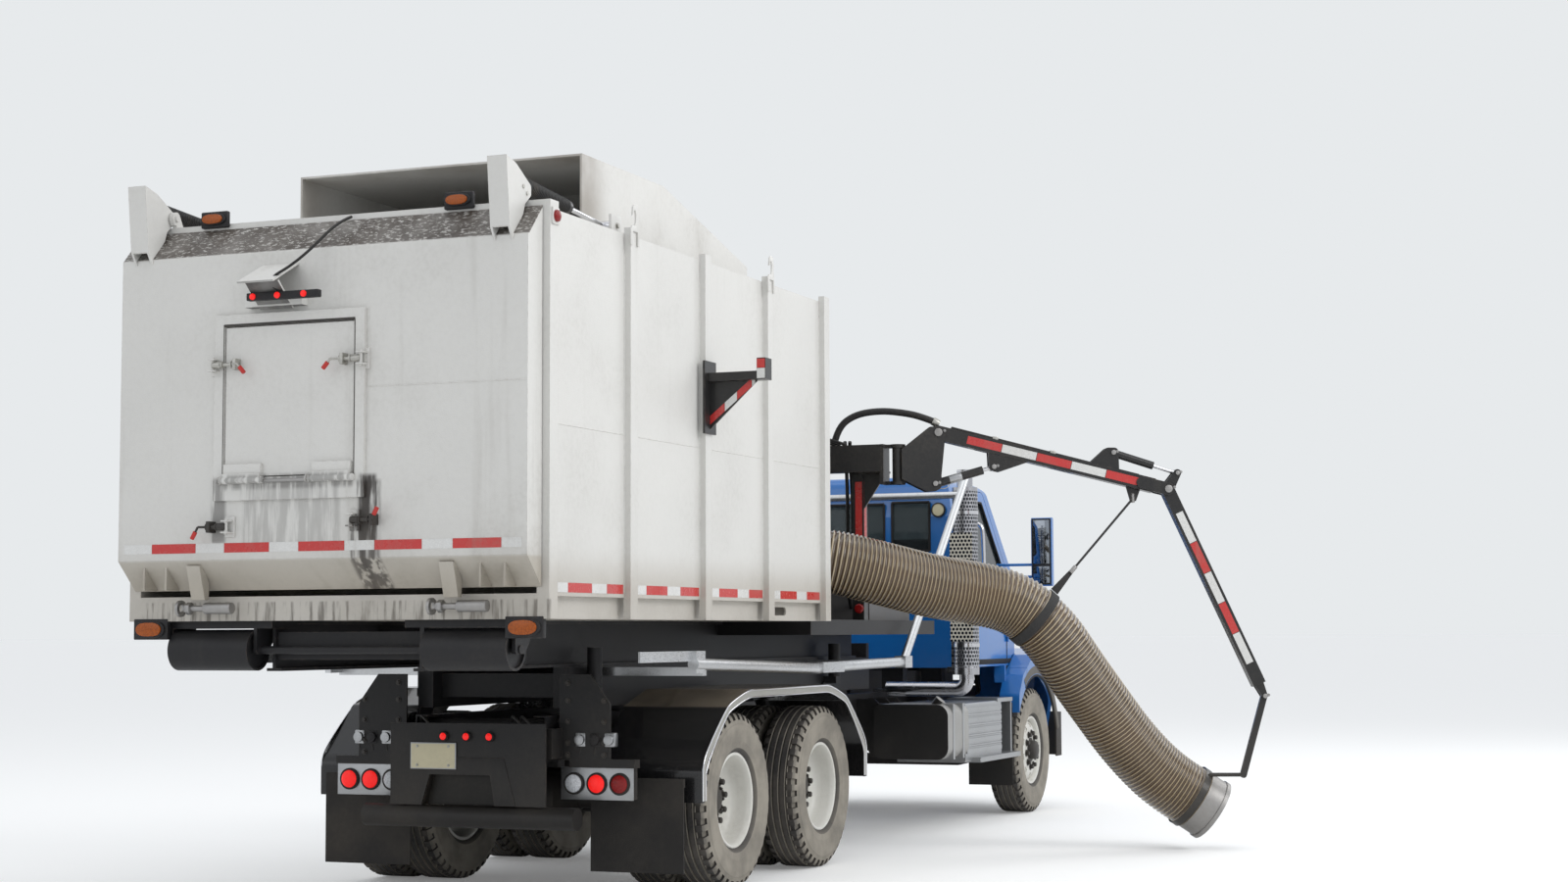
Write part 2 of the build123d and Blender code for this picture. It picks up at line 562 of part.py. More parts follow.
def cab_interior():
    dash = across(outline((8700.0, 1650.0), (9000.0, 1650.0), (9000.0, 1900.0), (8860.0, 1935.0, 40),
                          (8700.0, 1850.0, 40)), (-900.0, 900.0))
    dash += across(outline((8860.0, FLOOR_Z + 12 + SEAT_GAP), (9000.0, FLOOR_Z + 12 + SEAT_GAP),
                           (9000.0, 1700.0), (8860.0, 1700.0)), (-300.0, 300.0))
    seat = outline((7900.0, 1470.0, 30), (8420.0, 1500.0, 40), (8420.0, 1620.0, 50), (8060.0, 1600.0, 30),
                   (7950.0, 2280.0, 50), (7830.0, 2280.0, 50))
    seats = across(seat, (250.0, 770.0)) + across(seat, (-770.0, -250.0))
    bases = block((7960.0, 8380.0), (300.0, 720.0), (FLOOR_Z + 12 + SEAT_GAP, 1490.0))
    seats += bases + mirror(bases, Plane.XZ)
    wheel = Pos(8560.0, 510.0, 1850.0) * Rot(0, -62, 0) * Torus(215, 16)
    spokes = Pos(8560.0, 510.0, 1850.0) * Rot(0, -62, 0) * (Box(40, 420, 14) + Cylinder(60, 30))
    column = rod((8560.0, 510.0, 1850.0), (8780.0, 510.0, 1735.0), 32)
    keep("cab_interior", dash + seats + wheel + spokes + column)


def nose():
    """Tilting nose: bonnet, wings and wheel arches as one moulding, hollow and open below."""
    rear = COWL_X + 28

    def body(inset):
        low = 860.0 if inset == 0 else 800.0
        top = outline(
            (rear, low), (rear, COWL_Z - 30 - inset), (9560.0, COWL_Z - 100 - inset, 260),
            (NOSE_FRONT_X - 90 - inset, 1690.0 - inset, 120), (NOSE_FRONT_X - inset, 1180.0), (NOSE_FRONT_X - inset, low),
        )
        bonnet = across(top, (-700.0 + inset, 700.0 - inset))
        section = outline((-700.0 + inset, low), (700.0 - inset, low), (690.0 - inset, 1640.0, 160),
                          (560.0 - inset, COWL_Z - 20 - inset, 110), (-560.0 + inset, COWL_Z - 20 - inset, 110),
                          (-690.0 + inset, 1640.0, 160))
        return bonnet & along(section, (rear - 10, NOSE_FRONT_X + 10))

    def wing(inset):
        low = 620.0 if inset == 0 else 560.0
        side = outline(
            (8600.0 + inset, low), (8600.0 + inset, 1000.0 - inset, 60), (8720.0 + inset, 1160.0 - inset, 60),
            (8880.0 + inset, DOOR_LOW_Z - 20 - inset), (9030.0 + inset, 1330.0 - inset, 80), (9480.0, 1385.0 - inset, 200), (9950.0 - inset, 1240.0 - inset, 160), (9985.0 - inset, 880.0),
            (9900.0 - inset, low),
        )
        outer = NOSE_Y - inset
        plan = outline(
            (8560.0, 560.0), (8560.0, outer), (9620.0, outer, 200), (9960.0, outer - 230, 160), (10000.0, 560.0),
        )
        return across(side, (560.0, outer)) & upward(plan, (low - 10, 1500.0))

    hollow = body(NOSE_WALL) + wing(NOSE_WALL) + mirror(wing(NOSE_WALL), Plane.XZ)
    shell = body(0) + wing(0) + mirror(wing(0), Plane.XZ)
    shell -= hollow
    shell -= block((8500.0, rear), (-CAB_Y - 8, CAB_Y + 8), (500.0, 2000.0))
    arch = rod((FRONT_AXLE_X, 700.0, TYRE_R), (FRONT_AXLE_X, NOSE_Y + 50, TYRE_R), ARCH_R)
    shell -= pair(arch)
    beside = (CAB_Y + 8, NOSE_Y + 10)
    behind = block((8500.0, rear), beside, (500.0, 1400.0))
    fixed = shell & pair(behind - pin(NOSE_HINGE, beside, NOSE_SWEEP_R + PANEL_GAP))
    shell -= pair(behind - pin(NOSE_HINGE, beside, NOSE_SWEEP_R))
    hanger = block((8680.0, 8720.0), (CAB_Y - 60, CAB_Y + 30), (1100.0, CAB_LOW_Z + 4))
    keep("cab_shell", SOLIDS["cab_shell"] + fixed + pair(hanger))
    # Grille mouth and lamp pockets in the front
    mouth = outline((-430.0, 960.0, 50), (430.0, 960.0, 50), (370.0, 1580.0, 60), (-370.0, 1580.0, 60))
    shell -= along(mouth, (9850.0, NOSE_FRONT_X + 20))
    # Hinge lugs behind the foot of the front panel
    lug = outline((NOSE_HINGE[0] - 30, NOSE_HINGE[1] - 20, 18), (NOSE_HINGE[0] + 30, NOSE_HINGE[1] - 20, 18),
                  (NOSE_FRONT_X - 12, 880.0), (NOSE_FRONT_X - 12, 945.0), (NOSE_HINGE[0] - 30, 870.0))
    shell += pair(across(lug, (NOSE_HINGE_Y[1] + SEAT_GAP, NOSE_HINGE_Y[1] + 18)))
    shell += pair(pin(NOSE_HINGE, (NOSE_HINGE_Y[0] - 8, NOSE_HINGE_Y[1] + 16), NOSE_PIN_R))
    keep("hood", shell)
    bars = None
    face_x = NOSE_FRONT_X - NOSE_WALL
    ring = along(mouth, (face_x - 60, face_x + 20)) - along(
        outline((-395.0, 995.0, 40), (395.0, 995.0, 40), (338.0, 1545.0, 50), (-338.0, 1545.0, 50)),
        (face_x - 70, face_x + 30))
    mesh = ring
    for k in range(6):
        z = 1060.0 + k * 85.0
        half = 392.0 - (z - 995.0) * 0.1
        mesh += block((face_x - 50, face_x - 20), (-half - 12, half + 12), (z, z + 26))
    trim = offset(outline((-430.0, 960.0, 50), (430.0, 960.0, 50), (370.0, 1580.0, 60), (-370.0, 1580.0, 60)),
                  amount=-0.4)
    keep("grille", mesh & along(trim, (face_x - 100, face_x + 60)))
    lamp = outline((470.0, 1090.0, 30), (690.0, 1090.0, 30), (690.0, 1240.0, 30), (500.0, 1290.0, 30))
    keep("headlamps", pair(along(lamp, (NOSE_FRONT_X + SEAT_GAP, NOSE_FRONT_X + 34))))


def exhaust_stack():
    stack = rod((7360.0, -1150.0, 1190.0), (7360.0, -1150.0, 2660.0), 100)
    stack += rod((7360.0, -1150.0, 2655.0), (7360.0, -1150.0, 2800.0), 62, 56)
    pipe = bent_tube([(7360.0, -1150.0, 1200.0), (7360.0, -1150.0, 1075.0), (7360.0, -RAIL_OUT_Y - 60, 1075.0)], 58, 80)
    stand = block((7330.0, 7390.0), (-1060.0, -1035.0), (1210.0, 2300.0))
    arms = block((7330.0, 7390.0), (-1060.0, -1000.0), (1210.0, 1250.0))
    foot = block((7300.0, 7420.0), (-RAIL_OUT_Y - 70, -RAIL_OUT_Y + 40), (1010.0 + 40 + SEAT_GAP, 1075.0))
    keep("exhaust_stack", stack + pipe + stand + arms + foot)


def tandem_fenders():
    first, last = REAR_AXLES_X
    middle = (first + last) / 2
    reach = 1386.0
    top = 2 * TYRE_R + FENDER_GAP

    def arch(inset):
        half = reach - inset
        return [
            (middle - half, 550.0), (middle - half, top - 425 - inset * 0.4, 120),
            (middle - 1030 + inset, top - 100 - inset, 60), (middle - 690, top - inset, 60),
            (middle + 690, top - inset, 60), (middle + 1030 - inset, top - 100 - inset, 60),
            (middle + half, top - 425 - inset * 0.4, 120), (middle + half, 550.0),
        ]

    band = across(outline(*arch(0)), (600.0, BOX_POST_Y)) - across(outline(*arch(SHEET)), (590.0, BOX_POST_Y + 5))
    # Turned-down lip along the outer edge, and the brackets to the frame
    lip = across(outline(*arch(0)), (BOX_POST_Y - SHEET, BOX_POST_Y)) - across(
        outline(*arch(SHEET + 22)), (BOX_POST_Y - SHEET - 5, BOX_POST_Y + 5))
    fender = band + lip
    for x in (middle - 60, middle + 60):
        foot = block((x - 25, x + 25), (RAIL_OUT_Y + SEAT_GAP, 600.0), (RAIL_TOP_Z - 50, RAIL_TOP_Z - 5))
        foot += block((x - 25, x + 25), (570.0, 600.0), (RAIL_TOP_Z - 50, top - 11))
        fender += foot + block((x - 25, x + 25), (570.0, 1200.0), (top - 65, top - 11))
    keep("tandem_fenders", pair(fender))


def mud_flaps():
    rear = block((1838.0, 1848.0), (600.0, 1190.0), (150.0, 640.0))
    hanger = block((1838.0, 1862.0), (RAIL_OUT_Y + SEAT_GAP, 1190.0), (640.0, 690.0))
    hanger += block((1838.0, 1862.0), (RAIL_OUT_Y + SEAT_GAP, 470.0), (680.0, 860.0))
    front = block((8500.0, 8508.0), (800.0, 1180.0), (260.0, 940.0))
    front += block((8480.0 + SEAT_GAP, 8510.0), (800.0, 1180.0), (900.0, 940.0))
    keep("mud_flaps", pair(rear + hanger + front))


def tail_apron():
    x = 1480.0
    plate = along(outline((-507.0, 540.0), (507.0, 540.0), (507.0, 1010.0), (-507.0, 1010.0)), (x - 30, x - 18))
    recess = along(outline((-300.0, 540.0), (300.0, 540.0), (220.0, 800.0), (-220.0, 800.0)), (x - 40, x - 10))
    apron = plate - recess
    apron += along(outline((-310.0, 540.0), (310.0, 540.0), (230.0, 810.0), (-230.0, 810.0)), (x - 18, x + 40)) \
        - along(outline((-298.0, 530.0), (298.0, 530.0), (218.0, 798.0), (-218.0, 798.0)), (x - 30, x + 28))
    apron += pair(block((x - 24, RAIL_REAR_X - SEAT_GAP), (380.0, RAIL_OUT_Y + 1), (800.0, 1000.0)))
    # Underride pipe on its two legs
    apron += rod((1490.0, -690.0, 474.0), (1490.0, 690.0, 474.0), 65)
    apron += pair(block((1470.0, 1510.0), (440.0, 480.0), (470.0, 900.0)))
    # Side plates beside the tilt hinge
    side = outline((505.0, 800.0), (830.0, 800.0), (830.0, 1120.0, 60), (700.0, 1290.0), (505.0, 1290.0))
    plates = along(side, (1624.0, 1636.0))
    plates += block((1500.0, 1630.0), (RAIL_OUT_Y + SEAT_GAP, 520.0), (810.0, 980.0))
    # Lamp shelf that reaches out to both sides
    plates += block((1624.0, 1690.0), (570.0, 985.0), (758.0, 806.0))
    apron += pair(plates)
    keep("tail_apron", apron)


def tail_lamps():
    lamps = pair(block((1630.0, 1688.0), (520.0, 970.0), (580.0, 758.0 - SEAT_GAP)))
    for k in range(3):
        y = 600.0 + k * 145.0
        lamps += pair(rod((1632.0, y, 668.0), (1618.0, y, 668.0), 52))
    for y in (-150.0, 0.0, 150.0):
        lamps += rod((1450.0 - SEAT_GAP, y, 935.0), (1434.0, y, 935.0), 24)
    keep("tail_lamps", lamps)


# Tilting bed

def hoist_bed():
    low, high = BED_BOTTOM_Z, BED_TOP_Z
    out_y = BED_RAIL_IN_Y + BED_RAIL_W
    bed = pair(block((TILT_X, BED_FRONT_X), (BED_RAIL_IN_Y, out_y), (low, high)))
    for x in (1900.0, 2900.0, 3900.0, 4900.0, 5900.0, BED_FRONT_X - 80):
        bed += block((x - 40, x + 40), (-out_y, out_y), (low + 60, high - 40))
    # Tilt hinge: ears under the rear of the rails and the cross pin through them
    ear = outline((TILT_X + 5, low + 30), (TILT_X - 52, TILT_Z - 52, 50), (TILT_X + 52, TILT_Z - 52, 50),
                  (TILT_X + 170, low + 30))
    bed += pair(across(ear, (out_y - 22, out_y)))
    bed += pin((TILT_X, TILT_Z), (-out_y - 66, out_y + 66), TILT_PIN_R)
    # Hoist cylinder lugs under the rails
    lug = link_outline((HOIST_EYE[0], low + 10), HOIST_EYE, 60, 45)
    lug_y = HOIST_Y - HOIST_EYE_HALF - SEAT_GAP
    bed += pair(across(lug, (out_y - 30, lug_y)))
    # Front stop with its winch
    bed += block((BED_FRONT_X - 60, BED_FRONT_X), (-out_y, out_y), (high - 60, high + 110))
    bed += rod((BED_FRONT_X - 180, -260.0, high - 20), (BED_FRONT_X - 180, 260.0, high - 20), 80)
    bed += pair(block((BED_FRONT_X - 220, BED_FRONT_X - 20), (260.0, 400.0), (high - 110, high - 20)))
    # Guide rollers for the sills
    roller_y = SILL_IN_Y + SILL_W + 45 + SEAT_GAP + 30
    for x in (TILT_X + 200, 5950.0):
        bed += pair(Pos(x, roller_y, (low + high) / 2 + 112) * Cylinder(45, 240))
        bed += pair(block((x - 45, x + 45), (out_y - 20, roller_y + 30), (low + 60, (low + high) / 2 - 8)))
    keep("hoist_bed", bed)


def skid_frame():
    """Long sills under the box and the vacuum unit, with the unit's deck."""
    foot = BED_TOP_Z + SEAT_GAP
    top = BOX_FOOT_Z
    web = outline(
        (SILL_IN_Y, foot), (SILL_IN_Y + SILL_W, foot), (SILL_IN_Y + SILL_W, foot + 16), (SILL_IN_Y + 54, foot + 16),
        (SILL_IN_Y + 54, top - 16), (SILL_IN_Y + SILL_W, top - 16), (SILL_IN_Y + SILL_W, top), (SILL_IN_Y, top),
        (SILL_IN_Y, top - 16), (SILL_IN_Y + 36, top - 16), (SILL_IN_Y + 36, foot + 16), (SILL_IN_Y, foot + 16),
    )
    front = BOX_LENGTH + 2600
    skid = pair(along(web, (150.0, front)))
    for x in (200.0, 1200.0, 2200.0, 3200.0, BOX_LENGTH + 180, BOX_LENGTH + 1180, front - 60):
        skid += block((x - 30, x + 30), (-SILL_IN_Y - 40, SILL_IN_Y + 40), (foot + 60, top - 60))
    # Deck of the vacuum unit with its turned-down edge
    rear = BOX_LENGTH + 6
    skid += block((rear, front), (-1130.0, 1130.0), (top - 12, top + 12))
    rim = block((rear, front), (-1130.0, 1130.0), (top - 90, top - 12))
    rim -= block((rear + SHEET, front - SHEET), (-1130.0 + SHEET, 1130.0 - SHEET), (top - 100, top))
    skid += rim
    # Fork plates that hold the ground rollers' shaft
    arm = outline((60.0, top), (60.0, 1420.0, 20), (165.0, 1420.0, 20), (300.0, top))
    for y in (500.0, 1033.0):
        skid += pair(across(arm, (y, y + 20)))
    skid += pair(block((60.0, 300.0), (SILL_IN_Y, 1053.0), (top - 40, top)))
    skid -= pin((112.0, 1443.0), (-1100.0, 1100.0), 22 + PIN_GAP)
    keep("skid_frame", skid)
    roller = rod((112.0, 520.0 + SEAT_GAP + 5, 1443.0), (112.0, 1033.0 - SEAT_GAP - 5, 1443.0), 110, 96)
    roller += rod((112.0, 540.0, 1443.0), (112.0, 552.0, 1443.0), 97)
    roller += rod((112.0, 1000.0, 1443.0), (112.0, 1012.0, 1443.0), 97)
    keep("ground_rollers", pair(roller) + rod((112.0, -1060.0, 1443.0), (112.0, 1060.0, 1443.0), 22))


def container():
    inner_y = BOX_SHEET_Y - SHEET
    box = block((0.0, BOX_LENGTH), (-BOX_SHEET_Y, BOX_SHEET_Y), (BOX_SHEET_Z - SHEET, BOX_ROOF_Z))
    box -= block((-1.0, BOX_LENGTH - SHEET), (-inner_y, inner_y), (BOX_SHEET_Z, BOX_ROOF_Z - SHEET))
    # Roof opening under the hood and the air inlet low in the front wall
    box -= block((1250.0, 3300.0), (-820.0, 820.0), (BOX_ROOF_Z - 60, BOX_ROOF_Z + 10))
    box -= rod((BOX_LENGTH - 60, -520.0, 3000.0), (BOX_LENGTH + 10, -520.0, 3000.0), 230)
    # Outside posts
    for x in POSTS_X:
        box += pair(block((x, x + POST_W), (BOX_SHEET_Y - 2, BOX_POST_Y), (BOX_FOOT_Z, POST_TOP_Z)))
    # Rear frame
    box += pair(block((0.0, POST_W), (inner_y - 20, BOX_SHEET_Y), (BOX_FOOT_Z, POST_TOP_Z)))
    box += block((0.0, POST_W), (-BOX_POST_Y, BOX_POST_Y), (3612.0, POST_TOP_Z))
    box += block((0.0, POST_W), (-BOX_POST_Y, BOX_POST_Y), (BOX_FOOT_Z, BOX_SHEET_Z))
    # Recessed floor frame below the side sheets
    floor_low = BOX_FOOT_Z + SEAT_GAP
    floor_z = (floor_low, BOX_SHEET_Z - SHEET - SEAT_GAP)
    edge = pair(block((POST_W + SEAT_GAP, BOX_LENGTH), (FLOOR_IN_Y - SHEET, FLOOR_IN_Y), floor_z))
    slot = block((3150.0, 3420.0), (FLOOR_IN_Y - 60, FLOOR_IN_Y + 20), (1632.0, 1684.0))
    slot = fillet(slot.edges().filter_by(Axis.Y), 25)
    floor = edge - pair(slot)
    bearers = 10
    pitch = (BOX_LENGTH - POST_W - 101.0) / (bearers - 1)
    for k in range(bearers):
        x = POST_W + SEAT_GAP + k * pitch
        floor += block((x, x + 60), (-FLOOR_IN_Y, FLOOR_IN_Y), floor_z)
    # Lugs that carry the gate's hinge pins
    lug = link_outline((40.0, POST_TOP_Z - 20), (0.0, GATE_PIN_Z), 34, 34)
    box += pair(across(lug, (1008.0, 1034.0)))
    box -= pin((0.0, GATE_PIN_Z), (-1080.0, 1080.0), GATE_PIN_R + PIN_GAP)
    box -= block((-60.0, 0.0), (-1200.0, 1200.0), (3600.0, GATE_PIN_Z - 40))
    # Upright plates on the roof that take the ends of the gate cylinders
    stay_y = LEVER_Y + GATE_EYE_HALF + SEAT_GAP
    stay = outline((STAY_PIN[0] - 46, BOX_ROOF_Z - 6), (STAY_PIN[0] - 46, STAY_PIN[1] + 62), (STAY_PIN[0] + 30, STAY_PIN[1] + 62),
                   (STAY_PIN[0] + 46, BOX_ROOF_Z - 6))
    box += pair(across(stay, (stay_y, stay_y + 16)))
    keep("container", box + floor)


def roof_hood():
    top = outline((HOOD_REAR_X, BOX_ROOF_Z + SEAT_GAP), (HOOD_REAR_X, HOOD_TOP_Z), (HOOD_FLAT_X, HOOD_TOP_Z),
                  (HOOD_FRONT_X, HOOD_LOW_Z), (HOOD_FRONT_X, BOX_ROOF_Z + SEAT_GAP))
    inner = outline((HOOD_REAR_X - 1, BOX_ROOF_Z - 10), (HOOD_REAR_X - 1, HOOD_TOP_Z - SHEET),
                    (HOOD_FLAT_X - 4, HOOD_TOP_Z - SHEET), (HOOD_FRONT_X - SHEET, HOOD_LOW_Z - SHEET + 4),
                    (HOOD_FRONT_X - SHEET, BOX_ROOF_Z - 10))
    hood = across(top, (-HOOD_Y, HOOD_Y)) - across(inner, (-HOOD_Y + SHEET, HOOD_Y - SHEET))
    hood += pair(block((HOOD_REAR_X, HOOD_FRONT_X), (HOOD_Y - SHEET, HOOD_Y + 38),
                       (BOX_ROOF_Z + SEAT_GAP, BOX_ROOF_Z + SHEET)))
    keep("roof_hood", hood)


def tailgate():
    outer = outline((-PANEL_GAP, GATE_LOW_Z), (GATE_FACE_X, GATE_FACE_LOW_Z), (GATE_FACE_X, GATE_FACE_TOP_Z),
                    (-PANEL_GAP, GATE_TOP_Z))
    inner = outline((0.0, GATE_LOW_Z + 34), (GATE_FACE_X + SHEET, GATE_FACE_LOW_Z + 6),
                    (GATE_FACE_X + SHEET, GATE_FACE_TOP_Z - 6), (0.0, GATE_TOP_Z - 34))
    gate = across(outer, (-GATE_Y, GATE_Y)) - across(inner, (-GATE_Y + SHEET, GATE_Y - SHEET))
    # Upright stiffeners inside the pan
    for y in (-700.0, 700.0):
        gate += across(outer, (y - 20, y + 20)) - block((-70.0, 10.0), (y - 30, y + 30), (1700.0, 3750.0))
    # Frame of the access door
    frame_y = (DOOR_Y[0] - DOOR_FRAME_W, DOOR_Y[1] + DOOR_FRAME_W)
    frame_z = (DOOR_Z[0] - 120, DOOR_Z[1] + DOOR_FRAME_W)
    gate += block((GATE_FACE_X - 20, GATE_FACE_X + SHEET), frame_y, frame_z)
    gate -= block((GATE_FACE_X - 30, GATE_FACE_X + 40), DOOR_Y, DOOR_Z)
    # Lever plates, each a channel round the foot of its cylinder
    lever = outline((26.0, GATE_PIN_Z - 24, 20), (26.0, GATE_PIN_Z + 26, 20), (LEVER_PIN[0] + 40, LEVER_PIN[1] + 62),
                    (LEVER_PIN[0] - 66, LEVER_PIN[1] + 90), (GATE_FACE_X - 42, GATE_FACE_TOP_Z + 40),
                    (GATE_FACE_X + 2, GATE_FACE_TOP_Z - 30), (-62.0, 3652.0), (-40.0, 3712.0))
    for side in (-1, 1):
        y = side * LEVER_Y
        for edge in (-1, 1):
            centre = y + edge * 50
            gate += across(lever, (centre - 6, centre + 6))
        gate += pin((0.0, GATE_PIN_Z), sorted((side * 996.0, side * (LEVER_Y - 46))), GATE_PIN_R)
        back = outline((LEVER_PIN[0] - 66, LEVER_PIN[1] + 90), (GATE_FACE_X - 42, GATE_FACE_TOP_Z + 40),
                       (GATE_FACE_X - 32, GATE_FACE_TOP_Z + 36), (LEVER_PIN[0] - 56, LEVER_PIN[1] + 88))
        gate += across(back, (y - 50, y + 50))
    # Latch gussets and ears along the lower chamfer
    gusset = outline((-60.0, GATE_LOW_Z + 40), (-60.0, GATE_LOW_Z - 50), (-96.0, GATE_LOW_Z - 50), (-150.0, 1890.0),
                     (-118.0, 1890.0))
    for y in (-765.0, 765.0):
        gate += across(gusset, (y - 42, y + 42))
    ear = outline((-14.0, GATE_LOW_Z + 2), (-130.0, GATE_LOW_Z + 2), (-128.0, 1888.0), (-110.0, 1888.0))
    for y in (-1090.0, -950.0, 950.0, 1090.0):
        gate += across(ear, (y - 6, y + 6))
    # Lugs of the access door's hinge pins, one at each end of a pin
    hinge = (GATE_FACE_X - 38, DOOR_Z[0] - 16)
    pins_y = ((DOOR_Y[0] + 10, DOOR_Y[0] + 240), (DOOR_Y[1] - 240, DOOR_Y[1] - 10))
    for y0, y1 in pins_y:
        for lug_y in ((y0 - 10, y0 - SEAT_GAP), (y1 + SEAT_GAP, y1 + 10)):
            gate += block((hinge[0] - 18, GATE_FACE_X - 19), lug_y, (hinge[1] - 18, hinge[1] + 16))
        gate -= pin(hinge, (y0 - 12, y1 + 12), DOOR_PIN_R + PIN_GAP)
    keep("tailgate", gate)
    # Access door, hinged along its foot
    door = block((GATE_FACE_X - 12, GATE_FACE_X + 6), (DOOR_Y[0] + PANEL_GAP, DOOR_Y[1] - PANEL_GAP),
                 (DOOR_Z[0] + PANEL_GAP, DOOR_Z[1] - PANEL_GAP))
    for y0, y1 in pins_y:
        door += block((GATE_FACE_X - 34, GATE_FACE_X - 12), (y0, y1), (DOOR_Z[0] + 2, DOOR_Z[0] + 70))
        door += pin(hinge, (y0 - 14, y1 + 14), DOOR_PIN_R)
        door += block((hinge[0] - 8, hinge[0] + 8), (y0, y1), (hinge[1], DOOR_Z[0] + 20))
    keep("access_door", door)
    # Bracket and lamp bar above the door
    sheet = outline((-400.0, 3350.0), (GATE_FACE_X - SEAT_GAP, 3470.0), (GATE_FACE_X - SEAT_GAP, 3462.0), (-396.0, 3341.0))
    bar = across(outline((-340.0, 3352.0), (-330.0, 3360.0), (GATE_FACE_X - 24, 3232.0), (GATE_FACE_X - 34, 3226.0)),
                 (130.0, 330.0))
    shelf = along(outline((60.0, 3240.0), (410.0, 3240.0), (410.0, 3300.0), (60.0, 3300.0)),
                  (GATE_FACE_X - 60, GATE_FACE_X - SEAT_GAP))
    keep("gate_light_bar", across(sheet, (120.0, 340.0)) + bar + shelf)


def gate_cylinders():
    barrel, shaft = ram(LEVER_PIN, STAY_PIN, LEVER_Y, 38, 14, 720, 210, GATE_EYE_HALF)
    keep("gate_barrels", pair(barrel))
    keep("gate_rods", pair(shaft))


def hoist_cylinders():
    barrel, shaft = ram(HOIST_BASE, HOIST_EYE, HOIST_Y, 40, 28, 2100, 0, HOIST_EYE_HALF)
    barrel -= pin(HOIST_BASE, (HOIST_Y - 60, HOIST_Y + 60), HOIST_PIN_R + PIN_GAP)
    keep("hoist_barrels", pair(barrel))
    keep("hoist_rods", pair(shaft))


def boom_rest():
    post = POSTS_X[2]
    plate = block((post - 40, post + 124), (-BOX_POST_Y - 14, -BOX_POST_Y - SEAT_GAP), (2680.0, 3106.0))
    arm = outline((-BOX_POST_Y - 10, 2985.0), (-1640.0, 2985.0), (-1640.0, 3035.0), (-BOX_POST_Y - 10, 3035.0))
    lip = outline((-1600.0, 2985.0), (-1655.0, 2985.0), (-1655.0, 3110.0), (-1600.0, 3110.0))
    gusset = outline((-BOX_POST_Y - 10, 2985.0), (-1590.0, 2985.0), (-BOX_POST_Y - 10, 2705.0))
    rest = plate + along(arm, (post - 5, post + 90)) + along(lip, (post - 5, post + 90)) + along(gusset, (post + 36, post + 48))
    keep("boom_rest", rest)


def vac_enclosure():
    base = BOX_FOOT_Z + 12 + SEAT_GAP
    body = along(outline((-380.0, base), (1100.0, base), (1100.0, 2260.0, 60), (980.0, 2380.0, 80),
                         (-260.0, 2380.0, 80), (-380.0, 2260.0, 60)), (BOX_LENGTH + 930, BOX_LENGTH + 2300))
    stack = rod((BOX_LENGTH + 2080, 700.0, 2370.0), (BOX_LENGTH + 2080, 700.0, 2760.0), 60)
    cooler = along(outline((-100.0, base), (900.0, base), (900.0, 2200.0), (-100.0, 2200.0)), (BOX_LENGTH + 2299, BOX_LENGTH + 2400))
    tank = across(outline((BOX_LENGTH + 1400, base), (BOX_LENGTH + 2280, base), (BOX_LENGTH + 2280, 1960.0, 60), (BOX_LENGTH + 1400, 1960.0, 60)),
                  (-1040.0, -500.0))
    keep("vac_enclosure", body + stack + cooler)
    keep("oil_tank", tank)


def vac_blower():
    """Blower scroll with its side inlet and the duct into the box."""
    centre = (BOX_LENGTH + 430, 2020.0)
    base = BOX_FOOT_Z + 12 + SEAT_GAP
    y = (-700.0, -340.0)
    scroll = across(Pos(*centre) * Circle(375), y)
    duct = across(outline((BOX_LENGTH + 55, centre[1]), (BOX_LENGTH + 55, 3230.0), (BOX_LENGTH + 400, 3230.0), (BOX_LENGTH + 800, centre[1] + 60)), y)
    outlet = rod((BOX_LENGTH + SEAT_GAP, -520.0, 3000.0), (BOX_LENGTH + 60, -520.0, 3000.0), 225, 205)
    inlet = rod((centre[0], -HOSE_FLANGE_Y, centre[1]), (centre[0], -700.0, centre[1]), HOSE_R + 12, HOSE_R - 14)
    feet = block((BOX_LENGTH + 160, BOX_LENGTH + 240), y, (base, 1800.0)) + block((BOX_LENGTH + 620, BOX_LENGTH + 700), y, (base, 1800.0))
    shaft = rod((centre[0], y[1], centre[1]), (centre[0], 300.0, centre[1]), 60)
    gearbox = block((BOX_LENGTH + 310, BOX_LENGTH + 925), (-180.0, 300.0), (base, 2130.0))
    keep("vac_blower", scroll + duct + outlet + inlet + feet + shaft + gearbox)


